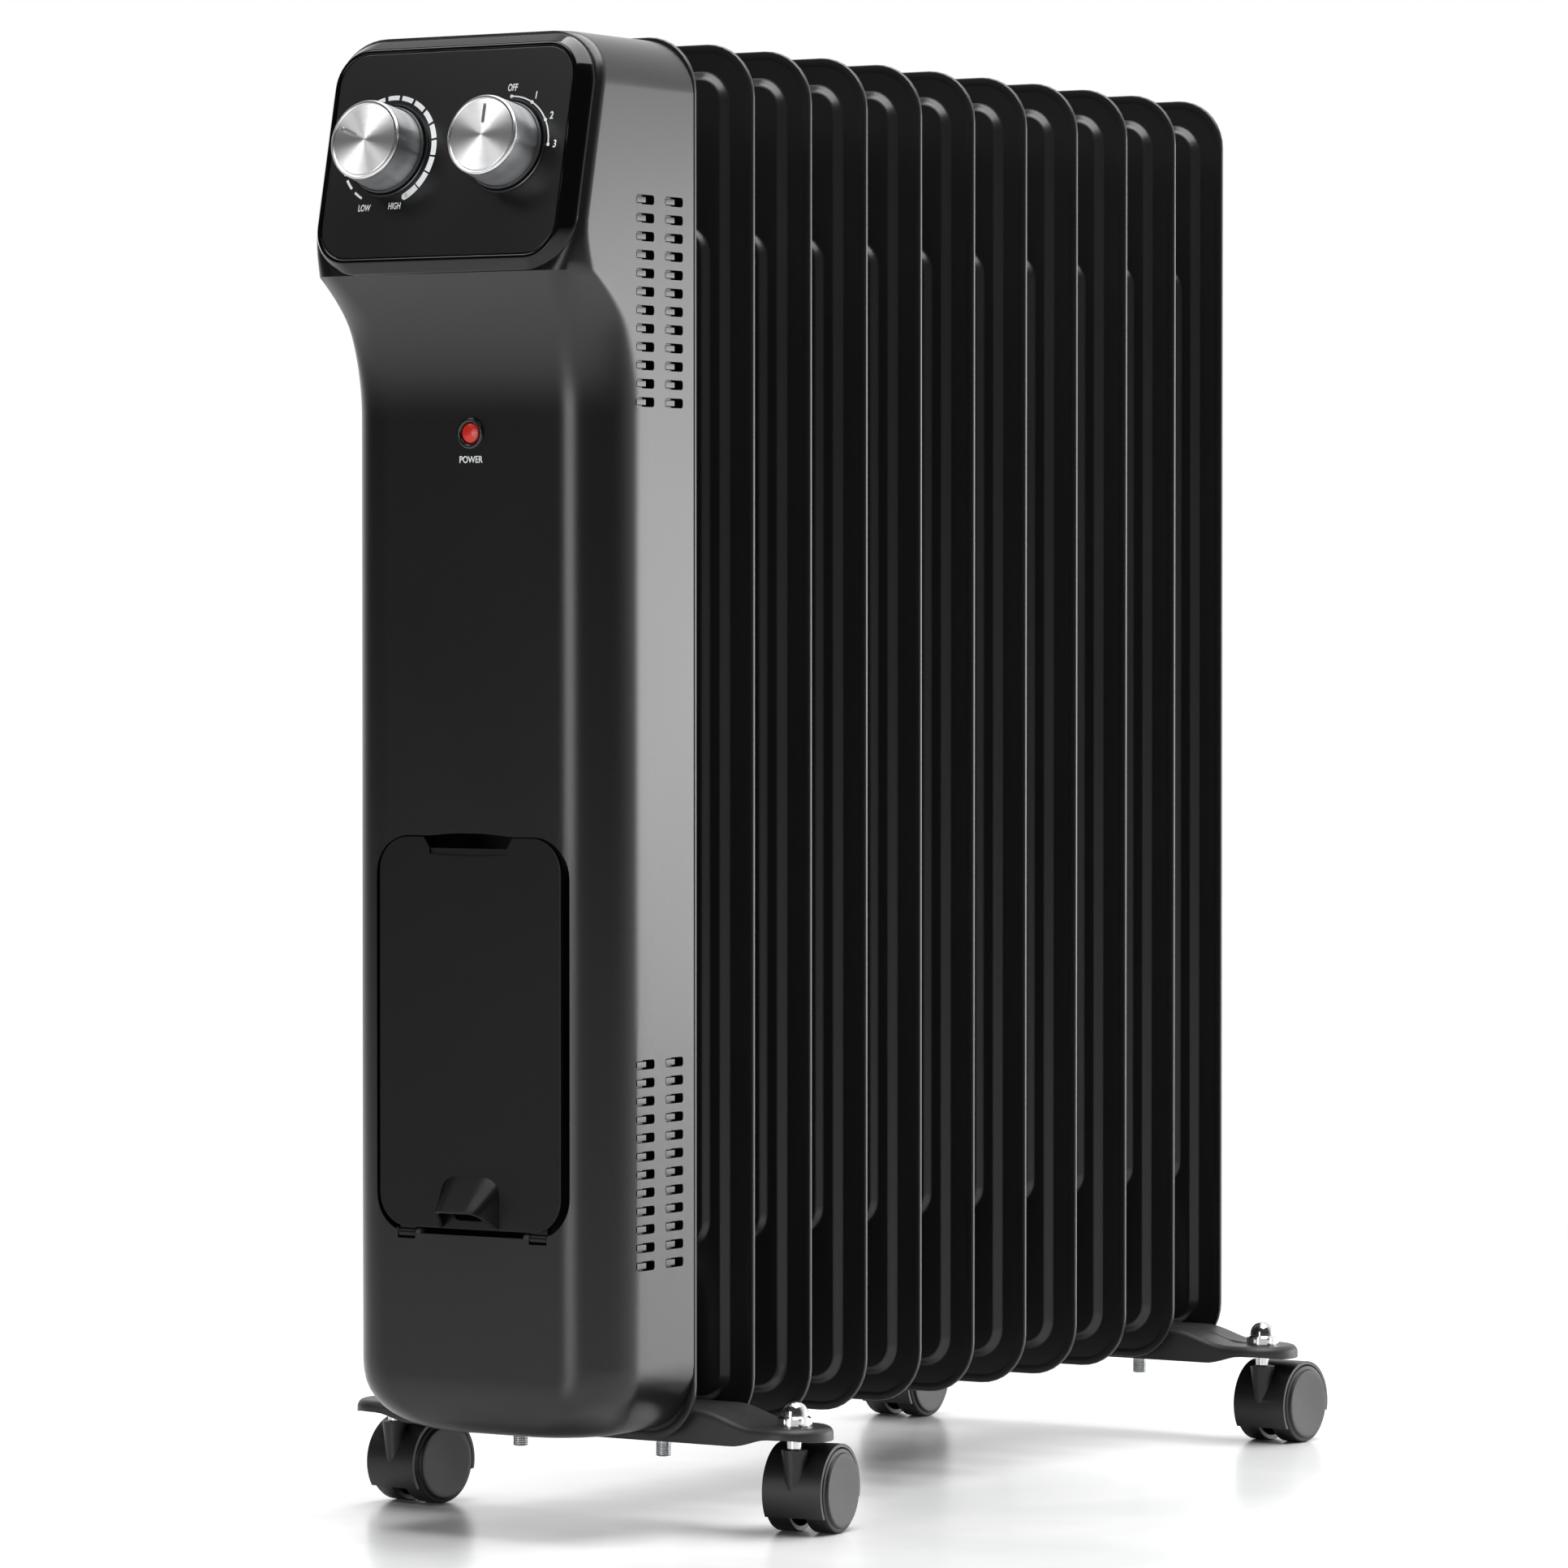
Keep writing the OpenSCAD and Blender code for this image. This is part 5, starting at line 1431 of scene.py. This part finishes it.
class HEATER_OT_inner_pieces(bpy.types.Operator):
    """Finishes of the pieces that keep their frame shapes"""
    bl_idname = "heater.inner_pieces"
    bl_label = "Inner pieces"

    def execute(self, context):
        paint = {
            "heating_elements": "sheath", "element_flange": "brass", "heat_shield": "galvanised",
            "oil_plug": "brass",
            "thermostat_body": "ivory", "selector_body": "ivory", "cord_compartment": "liner",
            "door_pins": "steel",
            "cord_gland": "rubber", "terminal_block": "ivory", "tilt_switch_body": "ivory",
            "tilt_switch_pendulum": "steel",
            "thermal_cutout": "steel", "housing_screws": "steel",
        }
        for corner in CASTERS:
            paint["caster_axle_" + corner] = "steel"
        slots = {s["node"]: s["material_slot"] for s in frame["record"]["subparts"]}
        round_off = {"oil_plug": 0.5, "element_flange": 0.6, "cord_gland": 0.5, "terminal_block": 0.6,
                     "thermal_cutout": 0.4,
                     "housing_screws": 0.3, "thermostat_body": 0.6, "selector_body": 0.5,
                     "tilt_switch_body": 0.4,
                     "tilt_switch_pendulum": 0.4}
        for node, key in paint.items():
            material = finishes(key)
            if node in round_off:
                settle(softened(node + "_look", node, round_off[node] * MM, 2, 35), body_of(node),
                       slots[node], material, node)
            else:
                mesh = frame["nodes"][node].data
                mesh.materials.clear()
                mesh.materials.append(material)
        return {"FINISHED"}


# ---------- stage ----------

class HEATER_OT_stage(bpy.types.Operator):
    """The pale floor, the soft studio light and the camera"""
    bl_idname = "heater.stage"
    bl_label = "Stage"

    def execute(self, context):
        scene = context.scene
        bright = finish_settings().backdrop
        mesh = bpy.data.meshes.new("studio_floor")
        mesh.from_pydata([(-9, -9, 0), (9, -9, 0), (9, 9, 0), (-9, 9, 0)], [], [(0, 1, 2, 3)])
        floor = bpy.data.objects.new("studio_floor", mesh)
        scene.collection.objects.link(floor)
        mat = bpy.data.materials.new("studio_floor")
        mat.use_nodes = True
        nodes, links = mat.node_tree.nodes, mat.node_tree.links
        bsdf = nodes["Principled BSDF"]
        place = nodes.new("ShaderNodeTexCoord")
        veins = nodes.new("ShaderNodeTexNoise")
        veins.inputs["Scale"].default_value = 5
        veins.inputs["Detail"].default_value = 8
        veins.inputs["Distortion"].default_value = 0.8
        links.new(place.outputs["Object"], veins.inputs["Vector"])
        tone = nodes.new("ShaderNodeValToRGB")
        tone.color_ramp.elements[0].position = 0.3
        tone.color_ramp.elements[0].color = (0.78, 0.785, 0.79, 1)
        tone.color_ramp.elements[1].position = 0.62
        tone.color_ramp.elements[1].color = (0.93, 0.93, 0.935, 1)
        links.new(veins.outputs["Fac"], tone.inputs["Fac"])
        links.new(tone.outputs["Color"], bsdf.inputs["Base Color"])
        bsdf.inputs["Roughness"].default_value = 0.24
        glow = nodes.new("ShaderNodeEmission")
        glow.inputs["Strength"].default_value = bright
        far = nodes.new("ShaderNodeVectorMath")
        far.operation = "LENGTH"
        links.new(place.outputs["Object"], far.inputs[0])
        fade = nodes.new("ShaderNodeMapRange")
        fade.interpolation_type = "SMOOTHSTEP"
        fade.inputs["From Min"].default_value = 0.35
        fade.inputs["From Max"].default_value = 1.5
        links.new(far.outputs["Value"], fade.inputs["Value"])
        mix = nodes.new("ShaderNodeMixShader")
        sight = nodes.new("ShaderNodeLightPath")
        seen = nodes.new("ShaderNodeMath")
        seen.operation = "MULTIPLY"
        links.new(fade.outputs["Result"], seen.inputs[0])
        links.new(sight.outputs["Is Camera Ray"], seen.inputs[1])
        links.new(seen.outputs[0], mix.inputs["Fac"])
        links.new(bsdf.outputs["BSDF"], mix.inputs[1])
        links.new(glow.outputs["Emission"], mix.inputs[2])
        links.new(mix.outputs["Shader"], nodes["Material Output"].inputs["Surface"])
        mesh.materials.append(mat)

        world = bpy.data.worlds.new("studio")
        scene.world = world
        world.use_nodes = True
        nodes, links = world.node_tree.nodes, world.node_tree.links
        back = nodes["Background"]
        place = nodes.new("ShaderNodeTexCoord")
        split = nodes.new("ShaderNodeSeparateXYZ")
        back.inputs["Color"].default_value = (1, 1, 1, 1)
        links.new(place.outputs["Generated"], split.inputs["Vector"])
        behind = nodes.new("ShaderNodeMapRange")
        behind.interpolation_type = "SMOOTHSTEP"
        behind.inputs["From Min"].default_value = -0.15
        behind.inputs["From Max"].default_value = 0.75
        behind.inputs["To Min"].default_value = 0.05
        behind.inputs["To Max"].default_value = 1.2
        links.new(split.outputs["Y"], behind.inputs["Value"])
        links.new(behind.outputs["Result"], back.inputs["Strength"])
        white = nodes.new("ShaderNodeBackground")
        white.inputs["Color"].default_value = (1, 1, 1, 1)
        white.inputs["Strength"].default_value = bright
        sight = nodes.new("ShaderNodeLightPath")
        mix = nodes.new("ShaderNodeMixShader")
        links.new(sight.outputs["Is Camera Ray"], mix.inputs["Fac"])
        links.new(back.outputs["Background"], mix.inputs[1])
        links.new(white.outputs["Background"], mix.inputs[2])
        links.new(mix.outputs["Shader"], nodes["World Output"].inputs["Surface"])

        def softbox(name, at, aim, size, power):
            light = bpy.data.lights.new(name, "AREA")
            light.shape = "RECTANGLE"
            light.size, light.size_y = size
            light.energy = power
            obj = bpy.data.objects.new(name, light)
            turn = (Vector(at) - Vector(aim)).to_track_quat("Z", "Y").to_matrix().to_4x4()
            obj.matrix_world = Matrix.Translation(at) @ turn
            scene.collection.objects.link(obj)

        softbox("top_box", (0.35, -0.05, 2.3), (0.1, 0.0, 0), (2.0, 2.2), 88)
        softbox("side_box", (1.3, 1.95, 0.38), (0, -0.1, 0.36), (1.5, 0.7), 17)
        softbox("front_box", (-0.25, -3.0, 0.45), (0, 0, 0.35), (0.9, 1.3), 18)
        softbox("key_box", (-1.0, -1.45, 1.9), (0, -0.27, 0.57), (0.7, 0.5), 8)

        camera = bpy.data.objects.new("camera", bpy.data.cameras.new("camera"))
        camera.data.lens = 168.25
        camera.data.sensor_width = 36
        camera.data.clip_end = 60
        yaw, pitch = math.radians(32.434), math.radians(1.317)
        back = Vector((math.sin(yaw) * math.cos(pitch), -math.cos(yaw) * math.cos(pitch), math.sin(pitch)))
        right = Vector((math.cos(yaw), math.sin(yaw), 0))
        up = back.cross(right)
        turn = Matrix((right, up, back)).transposed().to_4x4()
        camera.matrix_world = Matrix.Translation((1.7317, -2.5505 + FIRST, 0.3834)) @ turn
        scene.collection.objects.link(camera)
        scene.camera = camera
        scene.view_settings.view_transform = "Standard"
        return {"FINISHED"}


# ---------- panel and registration ----------

STEPS = (HEATER_OT_stage, HEATER_OT_sections, HEATER_OT_housing, HEATER_OT_control_face,
         HEATER_OT_dial_marks, HEATER_OT_knobs,
         HEATER_OT_lamp, HEATER_OT_door, HEATER_OT_feet, HEATER_OT_casters, HEATER_OT_inner_pieces)


class HEATER_PT_build(bpy.types.Panel):
    """Sizes, finishes and the pieces in their order of making"""
    bl_idname = "HEATER_PT_build"
    bl_label = "Heater"
    bl_space_type = "VIEW_3D"
    bl_region_type = "UI"
    bl_category = "Heater"

    def draw(self, context):
        layout = self.layout
        for group in (context.scene.heater_shape, context.scene.heater_finish):
            box = layout.box()
            for key in group.bl_rna.properties.keys():
                if key not in {"rna_type", "name"}:
                    box.prop(group, key)
        column = layout.column(align=True)
        for step in STEPS:
            column.operator(step.bl_idname)


CLASSES = (HeaterFinish, HeaterShape) + STEPS + (HEATER_PT_build,)


def register():
    for cls in CLASSES:
        bpy.utils.register_class(cls)
    bpy.types.Scene.heater_finish = bpy.props.PointerProperty(type=HeaterFinish)
    bpy.types.Scene.heater_shape = bpy.props.PointerProperty(type=HeaterShape)


def unregister():
    del bpy.types.Scene.heater_shape
    del bpy.types.Scene.heater_finish
    for cls in reversed(CLASSES):
        bpy.utils.unregister_class(cls)


def main():
    register()
    for step in STEPS:
        group, name = step.bl_idname.split(".")
        result = getattr(getattr(bpy.ops, group), name)()
        if result != {"FINISHED"}:
            raise RuntimeError(step.bl_label + " was not finished")


if __name__ == "__main__":
    main()
